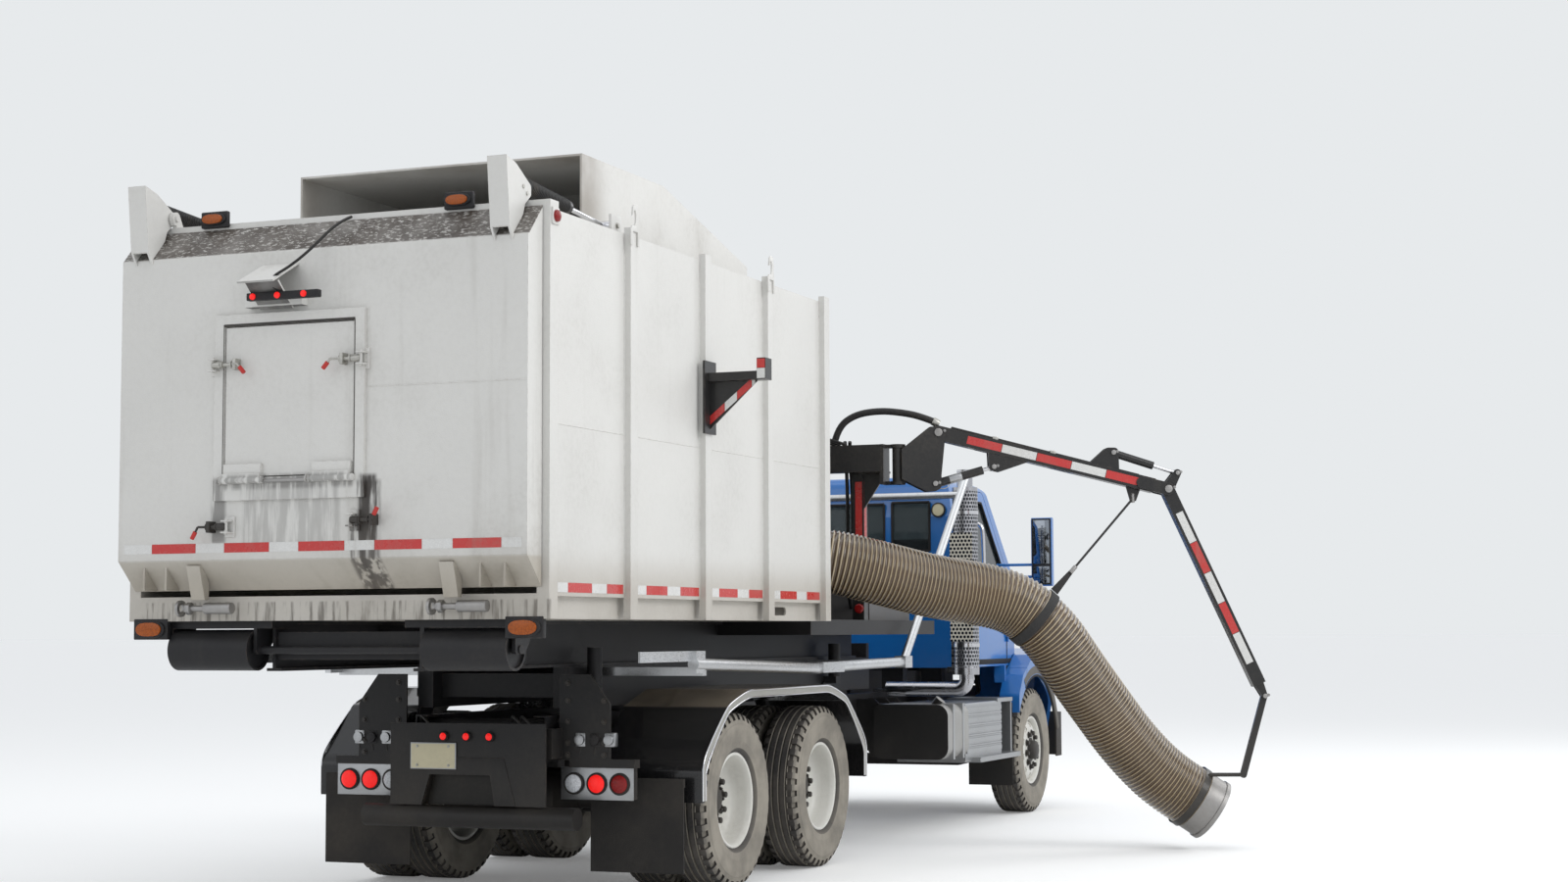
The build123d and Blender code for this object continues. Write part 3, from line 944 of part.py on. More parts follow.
def boom_mount():
    base = BOX_FOOT_Z + 12 + SEAT_GAP
    end_y = SWING_Y + MAST_CHEEK + 8
    beam = block((BOX_LENGTH + 940, BOX_LENGTH + 1040), (end_y + 15, -350.0), (2640.0, 2830.0))
    posts = block((BOX_LENGTH + 1055, BOX_LENGTH + 1135), (-1125.0, -1040.0), (base, 2700.0))
    posts += block((BOX_LENGTH + 955, BOX_LENGTH + 1055), (-480.0, -385.0), (2395.0, 2645.0))
    tie = block((BOX_LENGTH + 1030, BOX_LENGTH + 1135), (-1125.0, -1040.0), (2645.0, 2825.0))
    # Two forked lugs that hold the mast's barrel
    lugs = None
    for z in ((MAST_Z[0] - 24, MAST_Z[0] - SEAT_GAP), (MAST_Z[1] + SEAT_GAP, MAST_Z[1] + 24)):
        lug = block((SWING_X - 28, SWING_X + 36), (SWING_Y, end_y + 10), z)
        lug += rod((SWING_X, SWING_Y, z[0]), (SWING_X, SWING_Y, z[1]), 52)
        lugs = lug if lugs is None else lugs + lug
    cheek = block((BOX_LENGTH + 942, SWING_X + 36), (end_y, end_y + 27), (MAST_Z[0] - 24, MAST_Z[1] + 24))
    brace = along(outline((-1300.0, 2645.0), (-1120.0, 2645.0), (-1120.0, 2380.0)), (BOX_LENGTH + 1065, BOX_LENGTH + 1080))
    brace += along(outline((-1300.0, 2635.0), (-1120.0, 2635.0), (-1120.0, 2650.0), (-1300.0, 2650.0)), (BOX_LENGTH + 970, BOX_LENGTH + 1135))
    keep("boom_mount", beam + posts + tie + lugs + cheek + brace)


def swing_place(shape):
    return Pos(SWING_X, SWING_Y, 0) * Rot(0, 0, BOOM_HEADING) * shape


def mast():
    """Swinging post: barrel on the swing axis and two cheek plates for the boom's foot."""
    barrel = Pos(0, 0, sum(MAST_Z) / 2) * Cylinder(MAST_R, MAST_Z[1] - MAST_Z[0])
    cheek = outline((20.0, MAST_Z[0] + 12), (LIFT_BASE[0] - 60, LIFT_BASE[1] - 52), (LIFT_BASE[0] + 44, LIFT_BASE[1] - 44, 40),
                    (LIFT_BASE[0] + 44, LIFT_BASE[1] + 60), (BOOM_PIN[0] + 48, BOOM_PIN[1] - 40),
                    (BOOM_PIN[0] + 44, BOOM_PIN[1] + 44, 40), (BOOM_PIN[0] - 60, BOOM_PIN[1] + 40, 40), (20.0, MAST_Z[1] - 12))
    web = block((20.0, 150.0), (-60.0, 60.0), (MAST_Z[0] + 12, MAST_Z[1] - 12))
    body = barrel + web
    for side in (-1, 1):
        body += across(cheek, sorted((side * (MAST_CHEEK - 12), side * MAST_CHEEK)))
    body += pin(BOOM_PIN, (-MAST_CHEEK - 6, MAST_CHEEK + 6), BOOM_PIN_R)
    body += pin(LIFT_BASE, (-MAST_CHEEK - 6, MAST_CHEEK + 6), 12)
    body -= rod((0, 0, MAST_Z[0] - 1), (0, 0, MAST_Z[1] + 1), 6)
    keep("mast", swing_place(body))


def main_boom():
    half = BOOM_TUBE / 2
    tube = across(beam_outline(BOOM_PIN, ELBOW_PIN, half, 0, 100), (-half, half))
    tube += pin(BOOM_PIN, (-half, half), half)
    # Lower gusset with the lift cylinder's eye, upper gusset with the elbow cylinder's foot
    lower = outline((LIFT_EYE[0] - 40, LIFT_EYE[1] + 110), (LIFT_EYE[0] - 34, LIFT_EYE[1] - 20, 20), (LIFT_EYE[0] + 40, LIFT_EYE[1] - 34, 30),
                    (LIFT_EYE[0] + 260, 2712.0), (LIFT_EYE[0] + 250, 2740.0))
    upper = outline((ELBOW_BASE[0] - 190, 2680.0), (ELBOW_BASE[0] - 50, ELBOW_BASE[1] + 34, 40), (ELBOW_BASE[0] + 34, ELBOW_BASE[1] + 34, 30),
                    (ELBOW_BASE[0] + 40, 2610.0), (ELBOW_BASE[0] - 150, 2630.0))
    boom = tube
    for side in (-1, 1):
        boom += across(lower, sorted((side * 34.5, side * 46.0)))
        boom += across(upper, sorted((side * 34.5, side * 46.0)))
        ear = link_outline((ELBOW_PIN[0] - 180, ELBOW_PIN[1] + 44), ELBOW_PIN, half - 6, half - 6)
        boom += across(ear, sorted((side * (half - 1), side * (half + 12))))
    boom += pin(ELBOW_PIN, (-half - 18, half + 18), BOOM_PIN_R)
    boom += pin(ELBOW_BASE, (-50.0, 50.0), 12)
    boom -= pin(BOOM_PIN, (-half - 5, half + 5), BOOM_PIN_R + PIN_GAP)
    keep("main_boom", swing_place(boom))


def outer_arm():
    half = BOOM_TUBE / 2
    wide = half - 5
    arm = across(beam_outline(ELBOW_PIN, TIP_PIN, half - 5, 0, 90), (-wide, wide))
    arm += pin(ELBOW_PIN, (-wide, wide), half - 5)
    lug = link_outline(ELBOW_PIN, ELBOW_EYE, half - 8, 26)
    for side in (-1, 1):
        arm += across(lug, sorted((side * 34.0, side * wide)))
        arm += across(link_outline(((ELBOW_PIN[0] + TIP_PIN[0] * 9) / 10, (ELBOW_PIN[1] + TIP_PIN[1] * 9) / 10), TIP_PIN, 40, 20),
                      sorted((side * 24.0, side * 34.0)))
    arm += pin(TIP_PIN, (-38.0, 38.0), 12)
    arm -= pin(ELBOW_PIN, (-half - 5, half + 5), BOOM_PIN_R + PIN_GAP)
    # Room for the eye of the elbow cylinder between the lug plates
    arm -= pin(ELBOW_EYE, (-33.9, 33.9), 44)
    keep("outer_arm", swing_place(arm))


def boom_cylinders():
    barrel, shaft = ram(LIFT_BASE, LIFT_EYE, 0, 30, 14, 355, 0, 34)
    barrel -= pin(LIFT_BASE, (-40.0, 40.0), 12 + PIN_GAP)
    keep("lift_barrel", swing_place(barrel))
    keep("lift_rod", swing_place(shaft))
    barrel, shaft = ram(ELBOW_BASE, ELBOW_EYE, 0, 28, 13, 300, 127, 33)
    barrel -= pin(ELBOW_BASE, (-40.0, 40.0), 12 + PIN_GAP)
    keep("elbow_barrel", swing_place(barrel))
    keep("elbow_rod", swing_place(shaft))


def tip_link():
    """Hanging link from the arm's tip to the clamp round the hose's end."""
    bar = across(link_outline(TIP_PIN, CLAMP_PIN, 22, 22), (-15.0, 15.0))
    bar -= pin(TIP_PIN, (-20.0, 20.0), 12 + PIN_GAP)
    return swing_place(bar)


def hose_and_nozzle():
    """Suction hose in four lengths, and the steel nozzle that its last length fits."""
    points = [Vector(*point) for point in HOSE_ROUTE]
    starts = [points[0]] + [(points[k] + points[k + 1]) / 2 for k in HOSE_CUTS]
    last = len(points) - 1
    spans = list(zip((0,) + HOSE_CUTS, HOSE_CUTS + (last,)))
    for number, (first, end) in enumerate(spans):
        head = starts[number]
        tail = points[last] if end == last else (points[end] + points[end + 1]) / 2
        inside = points[1:end + 1] if number == 0 else points[first + 1:(end if end == last else end + 1)]
        route = [head] + inside + [tail]
        lead = (route[1] - route[0]).normalized() * SEAT_GAP
        route[0] = route[0] + lead
        bends = []
        for k in range(1, len(route) - 1):
            back, ahead = route[k] - route[k - 1], route[k + 1] - route[k]
            turn = math.radians(back.get_angle(ahead))
            bends.append(0.45 * min(back.length, ahead.length) / math.tan(turn / 2))
        print("hose", number + 1, "bend radii", [round(bend) for bend in bends])
        keep(f"hose_{number + 1}", bent_tube([tuple(point) for point in route], HOSE_R, bends, HOSE_R - HOSE_WALL))
    mouth = points[last] + (points[last] - points[last - 1]).normalized() * NOZZLE_LENGTH
    axis = (mouth - points[last]).normalized()
    start = points[last] + axis * SEAT_GAP
    ring = rod(tuple(start), tuple(mouth), HOSE_R - 2, HOSE_R - 2 - NOZZLE_WALL)
    lip = rod(tuple(mouth - axis * 30), tuple(mouth), HOSE_R + 6, HOSE_R - 2 - NOZZLE_WALL)
    back = points[last] - axis * 60
    clamp = rod(tuple(back), tuple(back + axis * 50), HOSE_R + 9, HOSE_R + SEAT_GAP)
    # Stay from the link's foot down to the clamp, on the clamp's upper side
    foot = swing_place(Pos(CLAMP_PIN[0], 0, CLAMP_PIN[1]) * Sphere(1)).center()
    middle = back + axis * 25
    toward = foot - middle
    toward = (toward - axis * toward.dot(axis)).normalized()
    clamp += rod(tuple(foot), tuple(middle + toward * (HOSE_R + 8)), 14)
    clamp -= rod(tuple(back - axis * 60), tuple(back + axis * 110), HOSE_R + SEAT_GAP)
    keep("nozzle", ring + lip)
    return clamp


def tarp_arms():
    y = 1225.0
    r = 35.0
    low = 2 * TYRE_R + FENDER_GAP + 160
    arm = rod((1900.0, y, low), (3930.0, y, low - 55), r)
    joint = block((3900.0, 4290.0), (y - 42, y + 42), (low - 83, low - 15))
    arm += joint + rod((4260.0, y, low - 45), (5600.0, y, low - 33), r)
    arm += Pos(5620.0, y, low - 33) * Box(150, 84, 84)
    arm += rod((5620.0, y, low - 33), (7150.0, y, 2730.0), 30)
    arm += block((1200.0, 2040.0), (y - 20, y - 8), (low + 15, low + 75))
    arm += block((1900.0, 2030.0), (y - 20, y + 20), (low - 55, low + 75))
    out_y = BED_RAIL_IN_Y + BED_RAIL_W + SEAT_GAP
    for x in (2060.0, 5620.0):
        arm += block((x - 30, x + 30), (out_y, y), (low - 70, low - 20))
    bow = rod((6990.0, -y, 2581.0), (6990.0, y, 2581.0), 27)
    keep("tarp_arms", pair(arm) + bow)


def build():
    chassis_frame()
    front_bumper()
    rear_bogie()
    front_axle()
    keep("knuckle_left", knuckle())
    keep("knuckle_right", mirror(knuckle(), Plane.XZ))
    wheels()
    engine_block()
    fuel_tanks()
    side_steps()
    cab_and_doors()
    cab_interior()
    nose()
    exhaust_stack()
    tandem_fenders()
    mud_flaps()
    tail_apron()
    tail_lamps()
    hoist_bed()
    skid_frame()
    container()
    roof_hood()
    tailgate()
    gate_cylinders()
    hoist_cylinders()
    boom_rest()
    vac_enclosure()
    vac_blower()
    boom_mount()
    mast()
    main_boom()
    outer_arm()
    boom_cylinders()
    link = tip_link()
    clamp = hose_and_nozzle()
    keep("tip_link", link + clamp)
    tarp_arms()


build()
os.makedirs("parts", exist_ok=True)
origin = Pos(-(OUTLINE_REAR_X + OUTLINE_FRONT_X) / 2, -(OUTLINE_RIGHT_Y + OUTLINE_LEFT_Y) / 2, 0)
for name, shape in SOLIDS.items():
    export_step(origin * shape, f"parts/{name}.step")
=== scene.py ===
"""Looks of a leaf vacuum truck: finishes, wheels, ribbed hose, tape, lamps, latches, hoses and glass."""

import json
import math

import bmesh
import bpy
from bpy.props import FloatProperty, FloatVectorProperty, PointerProperty
from mathutils import Matrix, Vector

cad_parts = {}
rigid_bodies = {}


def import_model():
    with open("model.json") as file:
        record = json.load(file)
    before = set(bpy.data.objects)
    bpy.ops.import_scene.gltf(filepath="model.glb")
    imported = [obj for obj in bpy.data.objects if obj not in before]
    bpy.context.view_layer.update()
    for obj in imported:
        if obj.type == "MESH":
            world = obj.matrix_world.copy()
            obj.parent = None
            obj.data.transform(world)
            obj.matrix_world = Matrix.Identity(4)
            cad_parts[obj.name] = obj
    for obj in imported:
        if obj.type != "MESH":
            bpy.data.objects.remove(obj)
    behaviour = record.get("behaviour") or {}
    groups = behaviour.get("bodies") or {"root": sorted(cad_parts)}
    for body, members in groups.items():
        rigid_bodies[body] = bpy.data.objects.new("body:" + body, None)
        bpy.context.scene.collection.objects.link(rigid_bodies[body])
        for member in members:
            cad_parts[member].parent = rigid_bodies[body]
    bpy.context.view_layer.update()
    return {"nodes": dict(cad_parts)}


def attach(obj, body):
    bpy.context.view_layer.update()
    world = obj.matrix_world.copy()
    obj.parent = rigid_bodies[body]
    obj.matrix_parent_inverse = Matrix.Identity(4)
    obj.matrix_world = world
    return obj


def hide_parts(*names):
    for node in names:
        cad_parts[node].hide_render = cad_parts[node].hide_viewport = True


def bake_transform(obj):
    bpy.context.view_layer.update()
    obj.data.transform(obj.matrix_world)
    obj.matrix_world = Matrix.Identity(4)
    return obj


bl_info = {
    "name": "Leaf vacuum truck",
    "version": (1, 0, 0),
    "blender": (4, 5, 0),
    "location": "3D View > Sidebar > Truck",
    "description": "Dresses a leaf vacuum truck with its finishes and fittings",
    "category": "Object",
}

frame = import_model()

# Places are given in the truck's own frame, in metres: x forward from the rear face of the box's
# corner posts, y to the left from the centre line, z up from the ground. This carries them to the row frame.
SHIFT = Vector((-4.925, 1.1155, 0.0))

# The photograph's eye, in the row frame
CAMERA_PLACE = (-15.851, -5.8015, 1.520)
CAMERA_YAW = 21.771
CAMERA_PITCH = 4.534
CAMERA_ROLL = -0.26
CAMERA_LENS = 55.65

# Tone of the sky, the same as the far floor's, and bare metal where paint is rubbed off
SKY_TONE = (0.799, 0.823, 0.839)
RUBBED_METAL = (0.22, 0.17, 0.13)

# Box and gate
SHEET_Y = 1.236
POST_Y = 1.275
POST_WIDTH = 0.094
POSTS_X = (0.0, 0.955, 1.970, 2.940, 3.926)
GATE_FACE_X = -0.162
GATE_HALF_Y = 1.234
SLOPE_FOOT_Z = 3.537
SLOPE_NORMAL = (0.735, -0.678)
DOOR_Y = (-0.235, 0.560)
DOOR_Z = (2.348, 3.150)

# Tarp hook on a post: forward from the post's rear face, and up from the ground
HOOK_OUTLINE = (
    (-0.016, 3.640), (-0.016, 3.725), (0.004, 3.750), (0.034, 3.752), (0.046, 3.772), (0.048, 3.812), (0.038, 3.836),
    (0.022, 3.832), (0.014, 3.808), (0.002, 3.804), (0.010, 3.852), (0.026, 3.868), (0.066, 3.866), (0.078, 3.800),
    (0.090, 3.640), (0.072, 3.640), (0.072, 3.718), (0.010, 3.718), (0.006, 3.640),
)

# Wheels: x, and y of the outermost tyre's outer face
AXLE_Z = 0.5225
TYRE_HALF = 0.140
TREAD_BLOCKS = 84
FRONT_AXLE_X = 9.130
REAR_AXLES_X = (2.584, 4.020)
FRONT_TYRE_OUT_Y = 1.190
REAR_TYRE_OUT_Y = 1.224
DUAL_SPACING = 0.330

# Blower inlet: x, and z of its axis
BLOWER = (4.450, 2.020)

# Vertical exhaust: x and y of its axis, and the holes of its guards
STACK = (7.360, -1.150)
HOLE_PITCH = 0.030
HOLES_ROUND = 26.0

# Reflective tape and pin ends
TAPE_THICK = 0.0012
PIN_THICK = 0.012

# Boom, in its own plane: s runs out from the swing axis
SWING = (5.056, -1.391)
BOOM_HEADING = math.radians(-65.2)
BOOM_PIN = (0.276, 2.911)
LIFT_BASE = (0.253, 2.553)
LIFT_EYE = (0.668, 2.672)
ELBOW_PIN = (1.892, 2.515)
ELBOW_BASE = (1.511, 2.772)
ELBOW_EYE = (1.961, 2.628)
TIP_PIN = (2.553, 1.069)

# Route of the suction hose
HOSE_ROUTE = (
    (4.450, -0.780, 2.020), (4.450, -1.050, 2.020), (4.640, -1.360, 1.935), (4.930, -1.690, 1.830),
    (5.130, -1.940, 1.790), (5.270, -2.180, 1.720), (5.395, -2.380, 1.520), (5.530, -2.500, 1.280),
    (5.690, -2.630, 1.040), (5.850, -2.790, 0.760), (5.990, -2.990, 0.510), (6.110, -3.210, 0.345),
)
HOSE_CUTS = (2, 5, 8)


def sizes():
    return bpy.context.scene.truck_sizes


def colours():
    return bpy.context.scene.truck_colours


def at(x, y, z):
    """Row-frame place of a point of the truck's own frame."""
    return Vector((x, y, z)) + SHIFT


def boom_at(s, z, out=0.0):
    """Truck-frame place of a point of the boom's plane, moved sideways by out."""
    c, d = math.cos(BOOM_HEADING), math.sin(BOOM_HEADING)
    return (SWING[0] + s * c - out * d, SWING[1] + s * d + out * c, z)


def boom_side(out):
    """Step of out metres straight across the boom's plane."""
    return Vector(boom_at(0, 0, out)) - Vector(boom_at(0, 0, 0))


# Modelling

def clear():
    if bpy.context.object and bpy.context.object.mode != "OBJECT":
        bpy.ops.object.mode_set(mode="OBJECT")
    bpy.ops.object.select_all(action="DESELECT")


def activate(piece):
    clear()
    piece.select_set(True)
    bpy.context.view_layer.objects.active = piece


def apply_place():
    bpy.ops.object.transform_apply(location=True, rotation=True, scale=True)


def finish(piece, kind, **values):
    """Add a modifier with these values and apply it."""
    modifier = piece.modifiers.new(kind.title(), kind)
    for name, value in values.items():
        setattr(modifier, name, value)
    activate(piece)
    bpy.ops.object.modifier_apply(modifier=modifier.name)


def link(name, data):
    """New object in the scene for a mesh, curve, lamp or camera."""
    piece = bpy.data.objects.new(name, data)
    bpy.context.scene.collection.objects.link(piece)
    return piece


def edit(piece, mode="FACE"):
    activate(piece)
    bpy.ops.object.mode_set(mode="EDIT")
    bpy.ops.mesh.select_mode(type=mode)
    bpy.ops.mesh.select_all(action="SELECT")


def done():
    bpy.ops.object.mode_set(mode="OBJECT")


def join(pieces):
    """Join pieces into the first of them."""
    clear()
    for piece in pieces:
        piece.select_set(True)
    bpy.context.view_layer.objects.active = pieces[0]
    if len(pieces) > 1:
        bpy.ops.object.join()
    return bpy.context.object


def soften(piece, width):
    """Bevel the edges that turn by more than 30 degrees."""
    if width:
        finish(piece, "BEVEL", width=width, segments=2, limit_method="ANGLE", angle_limit=math.radians(30.0))


def block(low, high, bevel):
    """Bevelled box between two corners."""
    clear()
    middle = [(a + b) / 2 for a, b in zip(low, high)]
    bpy.ops.mesh.primitive_cube_add(size=1, location=at(*middle))
    piece = bpy.context.object
    piece.scale = [abs(b - a) for a, b in zip(low, high)]
    apply_place()
    edit(piece)
    bpy.ops.mesh.bevel(offset=bevel, segments=2, affect="EDGES")
    done()
    return piece


def bar(start, end, radius, sides, bevel=0.0):
    """Round bar between two points."""
    clear()
    start, end = at(*start), at(*end)
    run = end - start
    turn = run.to_track_quat("Z", "Y").to_euler()
    bpy.ops.mesh.primitive_cone_add(vertices=sides, radius1=radius, radius2=radius, depth=run.length,
                                    location=(start + end) / 2, rotation=turn)
    apply_place()
    piece = bpy.context.object
    soften(piece, bevel)
    return piece


def lathe(profile, centre, axis, steps):
    """Spin a (radius, height) profile about an axis through a point, heights along the axis."""
    mesh = bpy.data.meshes.new("lathe")
    points = [(radius, 0.0, height) for radius, height in profile]
    mesh.from_pydata(points, [(k, k + 1) for k in range(len(points) - 1)], [])
    piece = link("lathe", mesh)
    edit(piece, "EDGE")
    bpy.ops.mesh.spin(steps=steps, angle=2 * math.pi, center=(0, 0, 0), axis=(0, 0, 1))
    bpy.ops.mesh.select_all(action="SELECT")
    bpy.ops.mesh.remove_doubles(threshold=0.0002)
    bpy.ops.mesh.normals_make_consistent(inside=False)
    done()
    turn = Vector(axis).to_track_quat("Z", "Y").to_matrix().to_4x4()
    mesh.transform(Matrix.Translation(at(*centre)) @ turn)
    return piece


def collar(inner, outer, low, high, centre, axis, steps):
    """Square-edged ring about an axis, from low to high along it."""
    return lathe([(inner, low), (outer, low), (outer, high), (inner, high), (inner, low)], centre, axis, steps)


def circle(x, y, z, radius, count, first=0.0):
    """Places round a point at one y, from the angle first in degrees."""
    angles = [math.radians(first + 360.0 * k / count) for k in range(count)]
    return [(x + radius * math.cos(angle), y, z + radius * math.sin(angle)) for angle in angles]


def slab(points, move, bevel=0.0):
    """Flat face through points of the truck's frame, extruded by move."""
    mesh = bpy.data.meshes.new("slab")
    mesh.from_pydata([at(*point) for point in points], [], [list(range(len(points)))])
    piece = link("slab", mesh)
    edit(piece)
    bpy.ops.mesh.extrude_region_move(TRANSFORM_OT_translate={"value": move})
    bpy.ops.mesh.select_all(action="SELECT")
    bpy.ops.mesh.normals_make_consistent(inside=False)
    done()
    soften(piece, bevel)
    return piece


def plate(corners, normal, low, high, bevel=0.0):
    """Extrude an outline along the truck's x, y or z from low to high. Corners use the other two axes in order."""
    order = {"x": (2, 0, 1), "y": (0, 2, 1), "z": (0, 1, 2)}[normal]
    points = [[(u, v, low)[k] for k in order] for u, v in corners]
    move = [0.0, 0.0, 0.0]
    move["xyz".index(normal)] = high - low
    return slab(points, move, bevel)


def wire(points, radius, sides=2):
    """Round cable or pipe along a smooth route."""
    curve = bpy.data.curves.new("wire", "CURVE")
    curve.dimensions = "3D"
    spline = curve.splines.new("NURBS")
    spline.points.add(len(points) - 1)
    for point, place in zip(spline.points, points):
        point.co = (*at(*place), 1.0)
    spline.order_u = 3
    spline.use_endpoint_u = True
    spline.resolution_u = 5
    curve.bevel_depth = radius
    curve.bevel_resolution = sides
    curve.use_fill_caps = True
    piece = link("wire", curve)
    activate(piece)
    bpy.ops.object.convert(target="MESH")
    return bpy.context.object


def flatten(piece, y, share):
    """Press a piece towards a plane of the truck's y, down to a share of its thickness."""
    level = Matrix.Translation((0.0, y + SHIFT.y, 0.0))
    piece.data.transform(level @ Matrix.Diagonal((1.0, share, 1.0, 1.0)) @ level.inverted())


def bolts(places, normal, radius, height):
    """Hexagon heads on washers, looking along normal."""
    turn = Vector(normal).to_track_quat("Z", "Y").to_matrix().to_4x4()
    made = []
    clear()
    bpy.ops.mesh.primitive_cylinder_add(vertices=6, radius=radius, depth=height, location=(0, 0, height * 0.75))
    head = bpy.context.object
    apply_place()
    edit(head)
    bpy.ops.mesh.bevel(offset=radius * 0.12, segments=1, affect="EDGES")
    done()
    clear()
    bpy.ops.mesh.primitive_cylinder_add(vertices=14, radius=radius * 1.5, depth=height * 0.3,
                                        location=(0, 0, height * 0.15))
    washer = bpy.context.object
    apply_place()
    head = join([head, washer])
    for place in places:
        twin = link("bolt", head.data.copy())
        twin.data.transform(Matrix.Translation(at(*place)) @ turn)
        made.append(twin)
    bpy.data.objects.remove(head)
    return made


def paint(pieces, finish_name, angle=35.0):
    """Give pieces one finish and smooth their round faces."""
    for piece in pieces:
        piece.data.materials.clear()
        piece.data.materials.append(FINISHES[finish_name])
        activate(piece)
        bpy.ops.object.shade_smooth_by_angle(angle=math.radians(angle))
    return pieces


def assemble_loose(name, pieces):
    """Join pieces into one object at the origin."""
    whole = join(pieces)
    apply_place()
    whole.name = name
    whole.data.name = name
    return whole


def assemble(name, body, pieces):
    """Join pieces into one that rides on a body."""
    whole = assemble_loose(name, pieces)
    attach(whole, body)
    return whole


# Finishes

def fill(tree, socket, value):
    """Link an output to a socket, or write a number, colour or vector on it."""
    if isinstance(value, bpy.types.NodeSocket):
        tree.links.new(value, socket)
    elif socket.type == "RGBA":
        socket.default_value = (*value[:3], 1.0)
    else:
        socket.default_value = value


def feed(tree, made, **values):
    """Fill a node's inputs by their names, written with _ for a space."""
    for name, value in values.items():
        fill(tree, made.inputs[name.replace("_", " ")], value)
    return made


def node(tree, kind, **values):
    """New shader node; values fill its inputs, or set its properties where no input has the name."""
    made = tree.nodes.new("ShaderNode" + kind)
    for name, value in values.items():
        if name.replace("_", " ") in made.inputs:
            feed(tree, made, **{name: value})
        else:
            setattr(made, name, value)
    return made


def maths(tree, operation, *values, clamp=False):
    made = node(tree, "Math", operation=operation, use_clamp=clamp)
    for socket, value in zip(made.inputs, values):
        fill(tree, socket, value)
    return made.outputs[0]


def times(tree, *factors):
    product = factors[0]
    for factor in factors[1:]:
        product = maths(tree, "MULTIPLY", product, factor)
    return product


def mix(tree, factor, first, second):
    made = node(tree, "Mix", data_type="RGBA")
    for index, value in ((0, factor), (6, first), (7, second)):
        fill(tree, made.inputs[index], value)
    return made.outputs[2]


def between(tree, value, low, high, start=0.0, end=1.0):
    """Map a value from low..high to start..end, held at the ends."""
    return node(tree, "MapRange", interpolation_type="SMOOTHSTEP", Value=value, From_Min=low, From_Max=high,
                To_Min=start, To_Max=end).outputs["Result"]


def place_of(tree, scale=(1, 1, 1)):
    """Object coordinates, stretched."""
    coordinates = node(tree, "TexCoord")
    return node(tree, "Mapping", Scale=scale, Vector=coordinates.outputs["Object"]).outputs["Vector"]


def axes_of(tree, vector):
    """The X, Y and Z outputs of a vector."""
    return node(tree, "SeparateXYZ", Vector=vector).outputs


def noise(tree, scale, detail=4.0, stretch=(1, 1, 1), roughness=0.55):
    return node(tree, "TexNoise", Scale=scale, Detail=detail, Roughness=roughness,
                Vector=place_of(tree, stretch)).outputs["Fac"]


def shade_of(colour, share):
    """The colour, darkened to a share of itself."""
    return [channel * share for channel in colour]


def raise_by(tree, shader, height, strength, distance, invert=False):
    """Bump a shader's normal by a height."""
    bump = node(tree, "Bump", Strength=strength, Distance=distance, Height=height, invert=invert)
    feed(tree, shader, Normal=bump.outputs["Normal"])


def new_group(name, inputs, outputs):
    """Empty node group with (name, kind, default) inputs and (name, kind) outputs."""
    group = bpy.data.node_groups.new(name, "ShaderNodeTree")
    for label, kind, default in inputs:
        socket = group.interface.new_socket(label, in_out="INPUT", socket_type="NodeSocket" + kind)
        socket.default_value = default
    for label, kind in outputs:
        group.interface.new_socket(label, in_out="OUTPUT", socket_type="NodeSocket" + kind)
    start = group.nodes.new("NodeGroupInput")
    end = group.nodes.new("NodeGroupOutput")
    return group, start, end


def weather_group():
    """Grey film, streaks down the sides and road dirt that thins out upwards."""
    name = "Weathering"
    if name in bpy.data.node_groups:
        return bpy.data.node_groups[name]
    group, start, end = new_group(name, (
        ("Paint", "Color", (0.8, 0.8, 0.8, 1.0)), ("Dirt", "Color", (0.2, 0.17, 0.13, 1.0)),
        ("Film", "Float", 0.25), ("Streaks", "Float", 0.3), ("Foot", "Float", 0.5),
        ("Reach", "Float", 1.0), ("Road", "Float", 0.4),
    ), (("Color", "Color"), ("Mask", "Float")))
    patches = between(group, noise(group, 1.7, 6.0), 0.42, 0.75)
    fine = between(group, noise(group, 38.0, 5.0), 0.35, 0.75)
    runs = between(group, noise(group, 9.0, 3.0, (1.0, 1.0, 0.07)), 0.56, 0.8)
    film = times(group, maths(group, "MULTIPLY_ADD", patches, 0.7, 0.3), start.outputs["Film"],
                 maths(group, "MULTIPLY_ADD", fine, 0.6, 0.5))
    streaks = times(group, runs, start.outputs["Streaks"])
    over = maths(group, "SUBTRACT", axes_of(group, place_of(group))["Z"], start.outputs["Foot"])
    low = between(group, maths(group, "DIVIDE", over, start.outputs["Reach"]), 0.0, 1.0, 1.0, 0.0)
    road = times(group, low, start.outputs["Road"], maths(group, "MULTIPLY_ADD", patches, 0.8, 0.35))
    mask = maths(group, "ADD", maths(group, "ADD", film, streaks), road, clamp=True)
    feed(group, end, Color=mix(group, mask, start.outputs["Paint"], start.outputs["Dirt"]), Mask=mask)
    return group


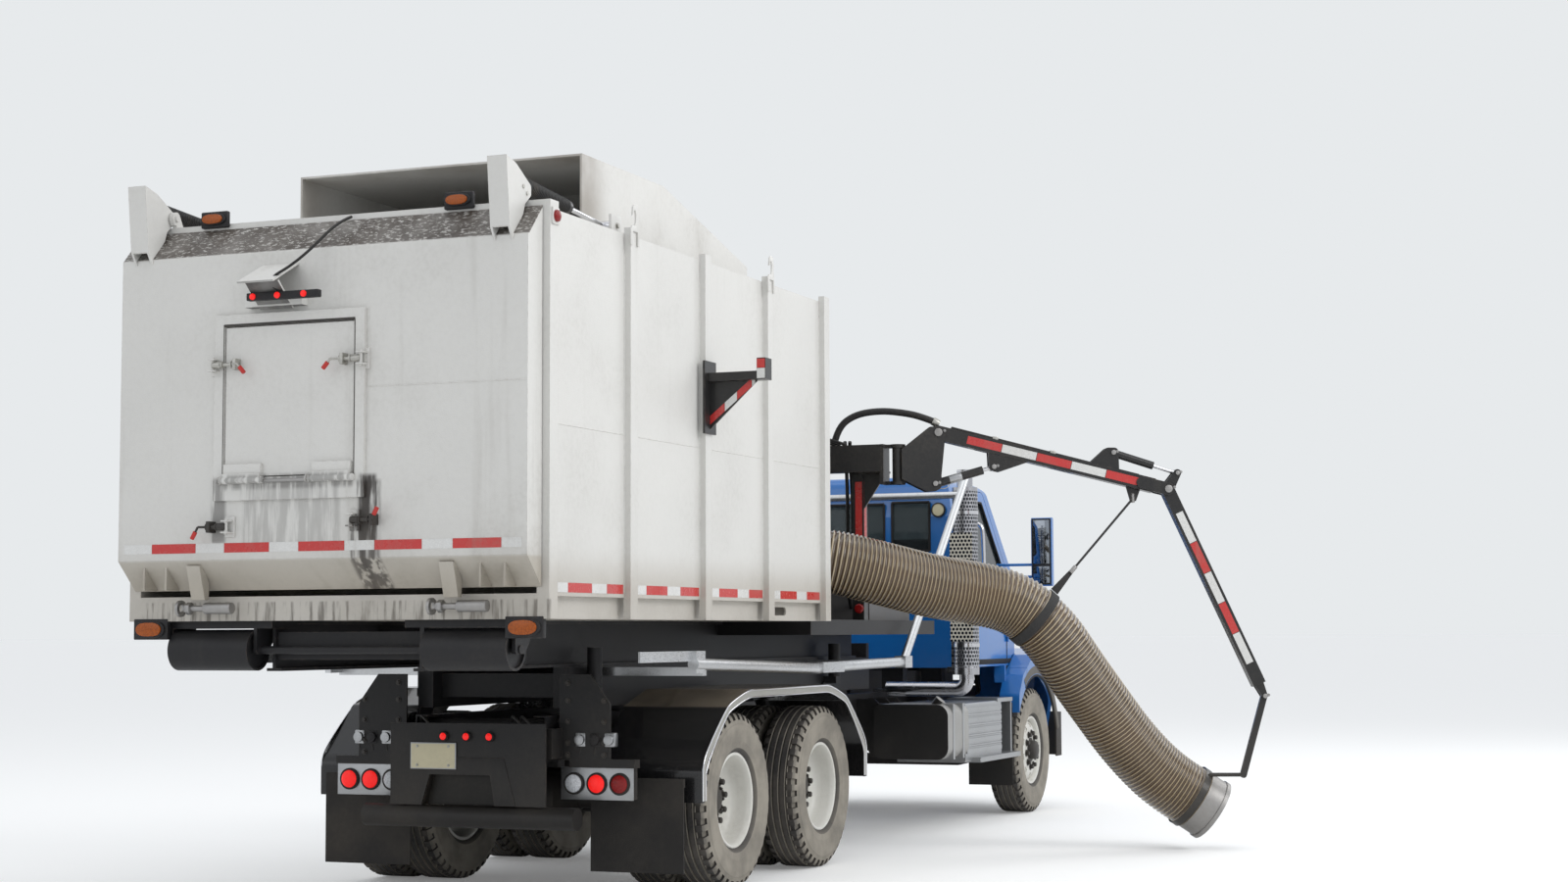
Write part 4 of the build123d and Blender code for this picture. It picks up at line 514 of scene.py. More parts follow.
def wear_group():
    """Paint rubbed off along edges, found by comparing the true normal with a rounded one."""
    name = "Edge wear"
    if name in bpy.data.node_groups:
        return bpy.data.node_groups[name]
    group, start, end = new_group(name, (
        ("Paint", "Color", (0.8, 0.8, 0.8, 1.0)), ("Metal", "Color", (0.25, 0.2, 0.16, 1.0)),
        ("Amount", "Float", 0.5),
    ), (("Color", "Color"), ("Mask", "Float")))
    rounded = node(group, "Bevel", Radius=0.008, samples=4)
    turned = node(group, "VectorMath", operation="DOT_PRODUCT")
    fill(group, turned.inputs[0], rounded.outputs["Normal"])
    fill(group, turned.inputs[1], node(group, "NewGeometry").outputs["Normal"])
    edge = between(group, maths(group, "SUBTRACT", 1.0, turned.outputs["Value"]), 0.02, 0.16)
    rough = between(group, noise(group, 26.0, 5.0), 0.47, 0.6)
    mask = maths(group, "MULTIPLY", times(group, edge, rough), start.outputs["Amount"], clamp=True)
    feed(group, end, Color=mix(group, mask, start.outputs["Paint"], start.outputs["Metal"]), Mask=mask)
    return group


def grain_group():
    """Fine unevenness of a sprayed, rolled or cast surface, as a normal."""
    name = "Surface grain"
    if name in bpy.data.node_groups:
        return bpy.data.node_groups[name]
    group, start, end = new_group(name, (
        ("Scale", "Float", 200.0), ("Depth", "Float", 0.1), ("Sag", "Float", 0.0),
    ), (("Normal", "Vector"),))
    fine = node(group, "TexNoise", Detail=3.0, Scale=start.outputs["Scale"], Vector=place_of(group))
    slow = noise(group, 2.2, 2.0)
    height = maths(group, "ADD", times(group, fine.outputs["Fac"], 0.004), times(group, slow, start.outputs["Sag"]))
    raise_by(group, end, height, start.outputs["Depth"], 1.0)
    return group


def use(tree, group, **values):
    """A group's node with these values in its inputs."""
    made = tree.nodes.new("ShaderNodeGroup")
    made.node_tree = group
    return feed(tree, made, **values)


def grained(tree, shader, **values):
    """Turn a shader's normal by the surface grain."""
    feed(tree, shader, Normal=use(tree, grain_group(), **values).outputs["Normal"])


def new_material(name):
    material = bpy.data.materials.get(name)
    if material:
        bpy.data.materials.remove(material)
    material = bpy.data.materials.new(name)
    material.use_nodes = True
    return material, material.node_tree, material.node_tree.nodes["Principled BSDF"]


def painted(name, colour, roughness, film, metallic=0.0, coat=0.0, dirt=(0.20, 0.17, 0.13), streaks=0.2,
            foot=0.4, reach=1.2, road=0.3, wear=0.0, grain=160.0, depth=0.25, sag=0.0, extra=None):
    """Painted, cast or moulded surface with dirt, worn edges and a fine grain."""
    material, tree, shader = new_material(name)
    tone = extra(tree, colour) if extra else colour
    if wear:
        tone = use(tree, wear_group(), Paint=tone, Metal=RUBBED_METAL, Amount=wear).outputs["Color"]
    dirty = use(tree, weather_group(), Paint=tone, Dirt=dirt, Film=film, Streaks=streaks, Foot=foot, Reach=reach,
                Road=road)
    rough = between(tree, dirty.outputs["Mask"], 0.0, 0.8, roughness, min(0.9, roughness + 0.4))
    feed(tree, shader, Base_Color=dirty.outputs["Color"], Roughness=rough, Metallic=metallic, Coat_Weight=coat,
         Coat_Roughness=0.08)
    if sum(colour) < 0.08:
        feed(tree, shader, Specular_IOR_Level=0.28)
    grained(tree, shader, Scale=grain, Depth=depth, Sag=sag)
    return material


def box_mask(tree, low, high, edge):
    """1 inside a box of the truck's frame, fading over edge metres; None leaves an axis open."""
    parts = axes_of(tree, place_of(tree))
    result = None
    for axis, a, b, shift in zip("XYZ", low, high, SHIFT):
        if a is None:
            continue
        rise = between(tree, parts[axis], a + shift - edge, a + shift)
        fall = between(tree, parts[axis], b + shift, b + shift + edge, 1.0, 0.0)
        both = times(tree, rise, fall)
        result = both if result is None else times(tree, result, both)
    return result


def box_sheet_marks(tree, colour):
    """Faint tan shade low on the sheets, and thin dark runs down the sill under the gate."""
    broad = between(tree, noise(tree, 0.6, 3.0), 0.35, 0.7)
    shade = mix(tree, times(tree, broad, 0.35), colour, shade_of(colour, 0.86))
    low = box_mask(tree, (None, None, 1.5), (None, None, 1.75), 0.25)
    shade = mix(tree, times(tree, low, 0.45), shade, (0.36, 0.31, 0.24))
    sill = box_mask(tree, (-0.03, None, 1.50), (0.02, None, 1.690), 0.015)
    runs = between(tree, noise(tree, 30.0, 4.0, (1.0, 1.0, 0.10)), 0.48, 0.66)
    return mix(tree, times(tree, sill, runs, 0.75), shade, (0.075, 0.064, 0.052))


def gate_marks(tree, colour):
    """Speckled top slope, tan foot and black runs below the access door's hinges."""
    base = box_sheet_marks(tree, colour)
    parts = axes_of(tree, place_of(tree))
    along = times(tree, maths(tree, "SUBTRACT", parts["X"], GATE_FACE_X + SHIFT.x), SLOPE_NORMAL[0])
    up = times(tree, maths(tree, "SUBTRACT", parts["Z"], SLOPE_FOOT_Z), SLOPE_NORMAL[1])
    slope = between(tree, maths(tree, "ABSOLUTE", maths(tree, "ADD", along, up)), 0.004, 0.008, 1.0, 0.0)
    slope = times(tree, slope, between(tree, parts["Z"], SLOPE_FOOT_Z, SLOPE_FOOT_Z + 0.012))
    specks = between(tree, noise(tree, 60.0, 6.0, (1.0, 0.5, 1.5), 0.74), 0.40, 0.47)
    worn = between(tree, noise(tree, 5.0, 4.0), 0.25, 0.7, 0.70, 1.0)
    base = mix(tree, times(tree, slope, 0.35), base, (0.20, 0.17, 0.14))
    base = mix(tree, times(tree, slope, specks, worn), base, (0.060, 0.047, 0.038))
    foot = box_mask(tree, (None, None, 1.70), (None, None, 1.905), 0.02)
    base = mix(tree, times(tree, foot, 0.5), base, (0.40, 0.35, 0.27))
    # y middle, top z, foot z, half width, strength
    for y, top, low, half, strength in ((-0.315, 2.33, 2.02, 0.030, 0.97), (-0.320, 2.30, 1.72, 0.050, 0.9),
                                        (-0.250, 2.10, 1.62, 0.030, 0.8), (0.600, 2.33, 2.02, 0.030, 0.6),
                                        (0.150, 2.29, 2.00, 0.280, 0.3), (0.160, 2.345, 2.30, 0.38, 0.5)):
        runs = between(tree, noise(tree, 26.0, 4.0, (1.0, 1.0, 0.10)), 0.36, 0.56)
        stripe = box_mask(tree, (None, y - half, low), (None, y + half, top), 0.03)
        base = mix(tree, times(tree, stripe, runs, strength), base, (0.035, 0.03, 0.028))
    return base


def facing(tree, axis, low, high):
    """1 where the surface looks along an axis by more than high, 0 by less than low."""
    return between(tree, axes_of(tree, node(tree, "TexCoord").outputs["Normal"])[axis], low, high)


def top_dust(tree, colour):
    """Brown road dust on what looks up."""
    patches = between(tree, noise(tree, 3.0, 5.0), 0.25, 0.65, 0.55, 1.0)
    settled = times(tree, facing(tree, "Z", 0.88, 0.99), patches)
    return mix(tree, times(tree, settled, 0.85), colour, (0.19, 0.155, 0.115))


def shaded_sheet(tree, colour):
    """Sheet whose underside is darker grey: painted shade, with some soot."""
    # Painted shade under the sheet, broken by patches of soot
    underside_shade_and_soot = facing(tree, "Z", -0.25, -0.55)
    patches = between(tree, noise(tree, 8.0, 4.0), 0.3, 0.7, 0.8, 1.0)
    return mix(tree, times(tree, underside_shade_and_soot, patches), colour, (0.085, 0.083, 0.080))


def apron_recess_shade(tree, colour):
    """Painted shade: near-black in the tow hitch's unlit recess."""
    return mix(tree, box_mask(tree, (1.456, -0.31, 0.53), (1.52, 0.31, 0.81), 0.004), colour, (0.002, 0.002, 0.002))


def tank_end_shade(tree, colour):
    """Grey wrap with painted shade: the end faces, looking along x, are near-black."""
    # Painted shade: faces looking forward or back turn near-black
    ends = maths(tree, "MAXIMUM", facing(tree, "X", 0.5, 0.8), facing(tree, "X", -0.5, -0.8))
    return mix(tree, ends, colour, (0.016, 0.016, 0.017))


def hood_marks(tree, colour):
    """Brown dust blown over the hood's mouth."""
    broad = between(tree, noise(tree, 1.2, 5.0), 0.3, 0.7)
    mouth = box_mask(tree, (1.0, None, None), (1.12, None, None), 0.35)
    return mix(tree, times(tree, broad, mouth, 0.7), colour, (0.22, 0.18, 0.14))


def bare_metal(name, colour, roughness, lines=(1, 1, 1), dirt=0.2, depth=0.2):
    """Metal with brushed or drawn lines and a little grime."""
    material, tree, shader = new_material(name)
    drawn = noise(tree, 60.0, 3.0, lines)
    tone = mix(tree, between(tree, drawn, 0.3, 0.7), shade_of(colour, 0.85), colour)
    dirty = use(tree, weather_group(), Paint=tone, Dirt=(0.16, 0.14, 0.12), Film=dirt, Streaks=dirt * 0.6, Foot=0.3,
                Reach=0.9, Road=dirt)
    feed(tree, shader, Base_Color=dirty.outputs["Color"],
         Roughness=between(tree, drawn, 0.2, 0.8, roughness * 0.75, roughness * 1.4),
         Metallic=between(tree, dirty.outputs["Mask"], 0.0, 0.7, 1.0, 0.35))
    raise_by(tree, shader, drawn, depth, 0.002)
    return material


def glass(name, tint):
    """Dusty tinted glass."""
    material, tree, shader = new_material(name)
    dust = between(tree, noise(tree, 7.0, 5.0), 0.4, 0.8, 0.03, 0.15)
    feed(tree, shader, Base_Color=tint, Transmission_Weight=0.9, IOR=1.45, Roughness=dust)
    return material


def lens(name, colour, glow, pitch=220.0):
    """Moulded lens with fine facets over a coloured body."""
    material, tree, shader = new_material(name)
    facets = node(tree, "TexVoronoi", Scale=pitch, Vector=place_of(tree)).outputs["Distance"]
    tone = mix(tree, facets, colour, shade_of(colour, 0.55))
    feed(tree, shader, Base_Color=tone, Roughness=0.22, Coat_Weight=0.12, Specular_IOR_Level=0.35,
         Emission_Color=tone, Emission_Strength=glow)
    raise_by(tree, shader, facets, 0.35, 0.003)
    return material


def tape(name, colour):
    """Retroreflective tape: tiny diamonds under a clear face, grimed at random."""
    material, tree, shader = new_material(name)
    cells = node(tree, "TexVoronoi", Scale=260.0, Vector=place_of(tree)).outputs["Distance"]
    tone = mix(tree, between(tree, cells, 0.1, 0.6, 0.0, 0.35), colour, shade_of(colour, 0.6))
    dirty = use(tree, weather_group(), Paint=tone, Dirt=(0.25, 0.21, 0.17), Film=0.35, Streaks=0.25, Foot=1.0,
                Reach=1.0, Road=0.2)
    feed(tree, shader, Base_Color=dirty.outputs["Color"], Coat_Weight=0.3,
         Roughness=between(tree, dirty.outputs["Mask"], 0.0, 0.8, 0.25, 0.7))
    raise_by(tree, shader, cells, 0.15, 0.001)
    return material


def tyre_rubber():
    """Dusty grey-brown sidewalls, darker tread."""
    material, tree, shader = new_material("Tyre rubber")
    dust = between(tree, noise(tree, 6.0, 6.0), 0.3, 0.7)
    fine = between(tree, noise(tree, 70.0, 4.0), 0.35, 0.7)
    tone = mix(tree, times(tree, dust, 0.75), (0.035, 0.033, 0.032), (0.11, 0.097, 0.083))
    tone = mix(tree, times(tree, fine, 0.3), tone, (0.10, 0.09, 0.08))
    wall = maths(tree, "MAXIMUM", facing(tree, "Y", 0.70, 0.95), facing(tree, "Y", -0.70, -0.95))
    wall = times(tree, wall, maths(tree, "MULTIPLY_ADD", dust, 0.35, 0.55))
    feed(tree, shader, Base_Color=mix(tree, wall, tone, (0.33, 0.30, 0.25)), Roughness=0.82)
    grained(tree, shader, Scale=220.0, Depth=0.5)
    return material


def hose_film():
    """Smoky tan film between cream ribs, with leaf dust; the ribs are an attribute of the hose."""
    material, tree, shader = new_material("Ribbed hose")
    rib = node(tree, "Attribute", attribute_name="rib").outputs["Fac"]
    patches = between(tree, noise(tree, 3.0, 5.0), 0.3, 0.7)
    smoke = tuple(colours().hose_film)
    film = mix(tree, patches, smoke, shade_of(smoke, 0.62))
    tone = mix(tree, between(tree, rib, 0.50, 0.85), film, tuple(colours().hose_rib))
    dirty = use(tree, weather_group(), Paint=tone, Dirt=(0.09, 0.065, 0.042), Film=0.16, Streaks=0.10, Foot=0.1,
                Reach=1.3, Road=0.40)
    feed(tree, shader, Base_Color=dirty.outputs["Color"], Roughness=between(tree, rib, 0.3, 0.9, 0.22, 0.28),
         Coat_Weight=0.8, Coat_Roughness=0.12)
    grained(tree, shader, Scale=90.0, Depth=0.35)
    return material


def perforated(name, colour, metallic, flat=False):
    """Guard with rows of small round holes, rolled round the stack or flat across y; the holes are painted near-black
    as shade.
    """
    material, tree, shader = new_material(name)
    parts = axes_of(tree, place_of(tree))
    if flat:
        column = maths(tree, "DIVIDE", parts["Y"], HOLE_PITCH)
    else:
        centre = at(*STACK, 0.0)
        turn = maths(tree, "ARCTAN2", maths(tree, "SUBTRACT", parts["Y"], centre.y),
                     maths(tree, "SUBTRACT", parts["X"], centre.x))
        column = times(tree, turn, HOLES_ROUND / (2 * math.pi))
    row = maths(tree, "DIVIDE", parts["Z"], HOLE_PITCH)
    odd = times(tree, maths(tree, "MODULO", maths(tree, "FLOOR", row), 2.0), 0.5)
    u = maths(tree, "SUBTRACT", maths(tree, "FRACT", maths(tree, "ADD", column, odd)), 0.5)
    v = maths(tree, "SUBTRACT", maths(tree, "FRACT", row), 0.5)
    reach = maths(tree, "SQRT", maths(tree, "ADD", times(tree, u, u), times(tree, v, v)))
    # The holes stop short of the guard's foot and head
    low, high = between(tree, parts["Z"], 1.24, 1.26), between(tree, parts["Z"], 2.62, 2.64, 1.0, 0.0)
    hole_shade = times(tree, between(tree, reach, 0.34, 0.40, 1.0, 0.0), times(tree, low, high))
    # Painted shade: the holes are near-black, for the dark inside seen through them
    feed(tree, shader, Base_Color=mix(tree, hole_shade, colour, (0.008, 0.012, 0.018)),
         Metallic=between(tree, hole_shade, 0.0, 1.0, metallic, 0.0),
         Roughness=between(tree, noise(tree, 12.0), 0.3, 0.7, 0.16, 0.3))
    raise_by(tree, shader, hole_shade, 0.8, 0.004, invert=True)
    return material


def build_materials():
    """Every finish, by a short name."""
    box_paint, cab_paint = tuple(colours().box_paint), tuple(colours().cab_paint)
    dark = dict(dirt=(0.10, 0.086, 0.070), film=0.14, streaks=0.08, road=0.30, reach=0.9)
    return {
        "box": painted("Box paint", box_paint, 0.42, film=0.16, streaks=0.10, foot=1.55, reach=0.5, road=0.25,
                       wear=0.25, sag=0.0012, extra=box_sheet_marks),
        "gate": painted("Gate paint", box_paint, 0.42, film=0.20, streaks=0.14, foot=1.7, reach=0.6, road=0.3,
                        wear=0.35, sag=0.0015, extra=gate_marks),
        "vent": painted("Roof hood paint", box_paint, 0.45, film=0.22, streaks=0.10, foot=3.6, reach=0.5,
                        road=0.3, wear=0.3, sag=0.001, extra=hood_marks),
        "blue": painted("Cab paint", cab_paint, 0.22, coat=0.7, film=0.06, streaks=0.03, foot=0.7, reach=0.9,
                        road=0.15, depth=0.04),
        "frame": painted("Frame paint", (0.016, 0.016, 0.018), 0.42, wear=0.35, foot=0.4, **dark),
        "boom": painted("Boom paint", (0.018, 0.018, 0.019), 0.3, coat=0.25, wear=0.3, film=0.14, streaks=0.06,
                        foot=0.3, reach=1.0, road=0.2, dirt=(0.2, 0.17, 0.13)),
        "plastic": painted("Black plastic", (0.018, 0.018, 0.020), 0.5, grain=420.0, depth=0.4, **dark),
        "rubber": painted("Flap rubber", (0.013, 0.013, 0.014), 0.68, grain=300.0, depth=0.5, sag=0.003, **dark),
        "aluminium": bare_metal("Mill aluminium", (0.50, 0.51, 0.52), 0.34, (1.0, 8.0, 8.0)),
        "chrome": bare_metal("Chrome", (0.80, 0.80, 0.82), 0.10, (1.0, 1.0, 12.0), dirt=0.06, depth=0.03),
        "steel": bare_metal("Bare steel", (0.42, 0.41, 0.40), 0.42, (3.0, 3.0, 3.0), dirt=0.35),
        "zinc": bare_metal("Zinc plate", (0.55, 0.54, 0.50), 0.38, (4.0, 4.0, 4.0), dirt=0.25),
        "stack": perforated("Perforated chrome", (0.50, 0.50, 0.52), 1.0),
        "shield": perforated("Perforated shield", (0.62, 0.59, 0.51), 0.0, True),
        "fender": painted("Fender paint", (0.012, 0.012, 0.013), 0.22, coat=0.5, film=0.05, streaks=0.08, foot=0.12,
                          reach=0.25, road=0.08, dirt=(0.12, 0.10, 0.08), extra=top_dust),
        "apron": painted("Apron paint", (0.013, 0.013, 0.014), 0.4, wear=0.2, extra=apron_recess_shade, **dark),
        "tank": painted("Tank wrap", (0.40, 0.395, 0.38), 0.42, metallic=0.3, extra=tank_end_shade, **dark),
        "flare": painted("Flare rubber", (0.105, 0.098, 0.088), 0.62, grain=300.0, depth=0.4, **dark),
        "sheet": painted("Lamp sheet paint", box_paint, 0.42, film=0.15, wear=0.25, extra=shaded_sheet),
        "poles": bare_metal("Arm tube", (0.72, 0.73, 0.74), 0.30, (1.0, 6.0, 6.0)),
        "tyre": tyre_rubber(),
        "rim": painted("Wheel paint", (0.72, 0.71, 0.66), 0.3, film=0.22, streaks=0.08, foot=0.0, reach=1.4, road=0.12,
                       dirt=(0.22, 0.18, 0.14), wear=0.2),
        "hub": painted("Hub grime", (0.030, 0.027, 0.024), 0.5, film=0.35, dirt=(0.09, 0.072, 0.055), road=0.1),
        "glass": glass("Cab glass", (0.16, 0.19, 0.20)),
        "mirror": bare_metal("Mirror face", (0.30, 0.33, 0.37), 0.04, dirt=0.05, depth=0.0),
        "red_lens": lens("Red lens", (0.28, 0.008, 0.008), 0.10),
        "red_lit": lens("Lit red lens", (0.80, 0.012, 0.010), 0.9),
        "amber": lens("Amber lens", (0.40, 0.085, 0.004), 0.05, 130.0),
        "clear_lens": lens("Clear lens", (0.75, 0.77, 0.80), 0.0, 120.0),
        "tape_red": tape("Red tape", tuple(colours().tape_red)),
        "tape_white": tape("White tape", (0.80, 0.80, 0.78)),
        "hose": hose_film(),
        "trim": painted("Cab trim", (0.10, 0.10, 0.11), 0.7, film=0.1, road=0.0, grain=500.0, depth=0.3),
        "engine": painted("Engine paint", (0.12, 0.12, 0.13), 0.55, film=0.6, road=0.4),
        "unit": painted("Unit paint", (0.10, 0.10, 0.105), 0.45, wear=0.3, film=0.3, road=0.2),
        "strap": webbing(),
        "cable": painted("Hose rubber", (0.015, 0.015, 0.016), 0.45, film=0.15, road=0.1, grain=500.0, depth=0.15),
        "red_grip": painted("Red grip", (0.5, 0.02, 0.015), 0.4, film=0.1, road=0.0),
        "plate": painted("Blank plate", (0.68, 0.62, 0.42), 0.4, film=0.2, road=0.1),
    }


def webbing():
    """Woven black strap."""
    material, tree, shader = new_material("Strap webbing")
    weave = node(tree, "TexWave", Scale=160.0, Distortion=0.4, Vector=place_of(tree)).outputs["Fac"]
    tone = mix(tree, weave, (0.018, 0.018, 0.020), (0.05, 0.048, 0.045))
    feed(tree, shader, Base_Color=tone, Roughness=0.8)
    raise_by(tree, shader, weave, 0.5, 0.002)
    return material


FINISHES = {}


# Pieces

# The CAD pieces that wear each finish
WORN_BY = {
    "box": ("container",),
    "gate": ("tailgate", "access_door"),
    "vent": ("roof_hood",),
    "frame": ("chassis_frame", "hoist_bed", "skid_frame", "rear_bogie", "front_axle", "knuckle_left", "knuckle_right",
              "ground_rollers", "tail_lamps"),
    "apron": ("tail_apron",),
    "boom": ("boom_rest", "boom_mount", "mast", "main_boom", "outer_arm", "tip_link", "lift_barrel", "elbow_barrel",
             "gate_barrels", "hoist_barrels"),
    "sheet": ("gate_light_bar",),
    "plastic": ("front_bumper", "mirror_left", "grille"),
    "fender": ("tandem_fenders",),
    "rubber": ("mud_flaps",),
    "blue": ("cab_shell", "door_left", "door_right", "hood", "mirror_right"),
    "trim": ("cab_interior",),
    "clear_lens": ("headlamps",),
    "stack": ("exhaust_stack",),
    "tank": ("fuel_tanks",),
    "aluminium": ("side_steps",),
    "poles": ("tarp_arms",),
    "engine": ("engine_block",),
    "unit": ("vac_enclosure", "oil_tank", "vac_blower"),
    "chrome": ("lift_rod", "elbow_rod", "gate_rods", "hoist_rods"),
    "steel": ("nozzle",),
}


def dress_all():
    """Mix the finishes, then give every CAD node that stays its own."""
    FINISHES.update(build_materials())
    for finish_name, names in WORN_BY.items():
        for name in names:
            slots = frame["nodes"][name].data.materials
            for index in range(len(slots)):
                slots[index] = FINISHES[finish_name]


# Wheels

def turned(profile, side, centre, steps):
    """Wheel part spun about y from steps of (radius, height outwards)."""
    return lathe([(radius, side * height) for radius, height in profile], centre, (0, 1, 0), steps)


def pick_faces(piece, middle, step, wanted):
    """In edit mode, select the faces whose radius about y, y and sector of step degrees are wanted."""
    edit(piece)
    bpy.ops.mesh.select_all(action="DESELECT")
    mesh = bmesh.from_edit_mesh(piece.data)
    for face in mesh.faces:
        spot = face.calc_center_median() - at(*middle)
        sector = math.floor(math.degrees(math.atan2(spot.z, spot.x)) / step)
        face.select = wanted(math.hypot(spot.x, spot.z), spot.y, sector)
    bmesh.update_edit_mesh(piece.data)


def nuts(x, y, side, length):
    """Ten nuts on the face of a wheel's disc."""
    return bolts(circle(x, y, AXLE_Z, 0.1425, 10, 9.0), (0, side, 0), 0.019, length)


def tyre(middle, out):
    """Radial tyre whose middle plane is at this point; out is +1 or -1, the way its outer face looks."""
    # radius, height from the middle plane outwards
    half = (
        (0.286, 0.104), (0.300, 0.118), (0.312, 0.127), (0.340, 0.131), (0.352, 0.134), (0.356, 0.1345),
        (0.360, 0.134), (0.400, 0.1385), (0.4375, 0.1400), (0.455, 0.1385), (0.458, 0.1365), (0.480, 0.1320),
        (0.4995, 0.1250), (0.5085, 0.1190), (0.5175, 0.1130), (0.5215, 0.104), (0.5220, 0.076), (0.5105, 0.073),
        (0.5105, 0.064), (0.5220, 0.061), (0.5225, 0.030), (0.5110, 0.027), (0.5110, 0.018), (0.5225, 0.015),
    )
    profile = half + tuple((radius, -height) for radius, height in reversed(half)) + half[:1]
    piece = turned(profile, out, middle, TREAD_BLOCKS)
    # Notched shoulders
    pick_faces(piece, middle, 360.0 / TREAD_BLOCKS, lambda radius, y, sector:
               radius > 0.478 and 0.084 < abs(y) < 0.1325 and sector % 2 == 0)
    bpy.ops.mesh.extrude_region_shrink_fatten(TRANSFORM_OT_shrink_fatten={"value": -0.016})
    done()
    return piece


def dished_disc(middle, out):
    """Deep white disc and rim of the outer twin wheel."""
    profile = (
        (0.284, 0.100), (0.286, 0.106), (0.281, 0.110), (0.270, 0.108), (0.262, 0.097), (0.258, 0.070),
        (0.257, 0.020), (0.251, -0.010), (0.238, -0.028), (0.216, -0.037), (0.172, -0.041), (0.100, -0.041),
        (0.100, -0.049), (0.222, -0.046), (0.261, -0.014), (0.266, 0.060), (0.284, 0.100),
    )
    return turned(profile, out, middle, 56)


def rear_wheel(x, side):
    """Twin wheel of a rear axle; side is +1 on the left."""
    outer = (x, side * (REAR_TYRE_OUT_Y - TYRE_HALF), AXLE_Z)
    inner = (x, side * (REAR_TYRE_OUT_Y - TYRE_HALF - DUAL_SPACING), AXLE_Z)
    disc_y = outer[1] - side * 0.041
    hub = turned(((0.0, 0.046), (0.052, 0.045), (0.064, 0.040), (0.070, 0.030), (0.094, 0.026), (0.101, 0.018),
                  (0.101, -0.010), (0.165, -0.010), (0.165, -0.230), (0.0, -0.230)), side, (x, disc_y, AXLE_Z), 36)
    drum = turned(((0.060, 0.0), (0.20, 0.0), (0.206, -0.012), (0.206, -0.19), (0.06, -0.19), (0.060, 0.0)), side,
                  (x, inner[1] + side * 0.125, AXLE_Z), 36)
    flange = bolts(circle(x, disc_y + side * 0.028, AXLE_Z, 0.088, 8), (0, side, 0), 0.009, 0.012)
    return (paint([tyre(outer, side), tyre(inner, side)], "tyre", 25)
            + paint([dished_disc(outer, side), dished_disc(inner, -side)], "rim")
            + paint([hub, drum] + nuts(x, disc_y, side, 0.030) + flange, "hub"))


def front_wheel(side):
    """Steering wheel of the front axle, with its raised disc and ten hand holes."""
    middle = (FRONT_AXLE_X, side * (FRONT_TYRE_OUT_Y - TYRE_HALF), AXLE_Z)
    rim = turned(((0.284, 0.100), (0.286, 0.106), (0.281, 0.110), (0.270, 0.108), (0.262, 0.097), (0.258, 0.060),
                  (0.256, -0.09), (0.284, -0.10), (0.284, 0.10)), side, middle, 56)
    disc = turned(((0.257, 0.030), (0.252, 0.052), (0.240, 0.072), (0.226, 0.084), (0.212, 0.094), (0.190, 0.101),
                   (0.172, 0.103), (0.100, 0.103), (0.100, 0.095), (0.170, 0.095), (0.210, 0.086), (0.240, 0.062),
                   (0.250, 0.030), (0.257, 0.030)), side, middle, 60)
    pick_faces(disc, middle, 6.0, lambda radius, y, sector:
               0.192 < radius < 0.238 and side * y > 0.078 and sector % 6 in (1, 2, 3))
    bpy.ops.mesh.inset(thickness=0.004)
    bpy.ops.mesh.extrude_region_shrink_fatten(TRANSFORM_OT_shrink_fatten={"value": -0.02})
    bpy.ops.mesh.delete(type="FACE")
    done()
    face_y = middle[1] + side * 0.103
    hub = turned(((0.0, 0.066), (0.040, 0.064), (0.070, 0.054), (0.076, 0.046), (0.080, 0.004), (0.104, 0.0),
                  (0.104, -0.09), (0.0, -0.09)), side, (middle[0], face_y, AXLE_Z), 36)
    return (paint([tyre(middle, side)], "tyre", 25) + paint([rim, disc], "rim")
            + paint([hub] + nuts(middle[0], face_y, side, 0.024), "hub"))


# Hose

def hose_line():
    """The four lengths of the hose's centre line, each a list of points close together."""
    route = [Vector(point) for point in HOSE_ROUTE]
    middles = [(route[k] + route[k + 1]) / 2 for k in range(len(route) - 1)]
    fine = [[route[0]]]
    steps = 40
    for k in range(1, len(route) - 1):
        for step in range(steps + 1):
            t = step / steps
            point = middles[k - 1] * (1 - t) ** 2 + route[k] * 2 * t * (1 - t) + middles[k] * t * t
            if (point - fine[-1][-1]).length > 1e-5:
                fine[-1].append(point)
        if k in HOSE_CUTS:
            fine.append([middles[k]])
    fine[-1].append(route[-1])
    return fine


def spaced(points, pitch, per_rib):
    """Even steps along a line, a whole number of ribs."""
    lengths = [0.0]
    for first, second in zip(points, points[1:]):
        lengths.append(lengths[-1] + (second - first).length)
    ribs = max(1, round(lengths[-1] / pitch))
    count = ribs * per_rib
    made, k = [], 0
    for step in range(count + 1):
        target = lengths[-1] * step / count
        while k < len(lengths) - 2 and lengths[k + 1] < target:
            k += 1
        t = (target - lengths[k]) / max(1e-9, lengths[k + 1] - lengths[k])
        made.append(points[k].lerp(points[k + 1], t))
    return made


def ribbed_tube(name, points, radii, around):
    """Tube along points with a radius at each point and a float attribute that marks its ribs."""
    curve = bpy.data.curves.new(name, "CURVE")
    curve.dimensions = "3D"
    curve.twist_mode = "MINIMUM"
    spline = curve.splines.new("POLY")
    spline.points.add(len(points) - 1)
    for point, place, radius in zip(spline.points, points, radii):
        point.co = (*(place + SHIFT), 1.0)
        point.radius = radius / max(radii)
    curve.bevel_depth = max(radii)
    curve.bevel_resolution = max(0, around // 4 - 1)
    piece = link(name, curve)
    activate(piece)
    bpy.ops.object.convert(target="MESH")
    piece = bpy.context.object
    ring = len(piece.data.vertices) // len(points)
    rib = piece.data.attributes.new("rib", "FLOAT", "POINT")
    low, high = min(radii), max(radii)
    values = [(radii[k // ring] - low) / (high - low) for k in range(len(piece.data.vertices))]
    rib.data.foreach_set("value", values)
    return piece


RIB_SHAPE = (0.2200, 0.2155, 0.2092, 0.2076, 0.2088, 0.2148)


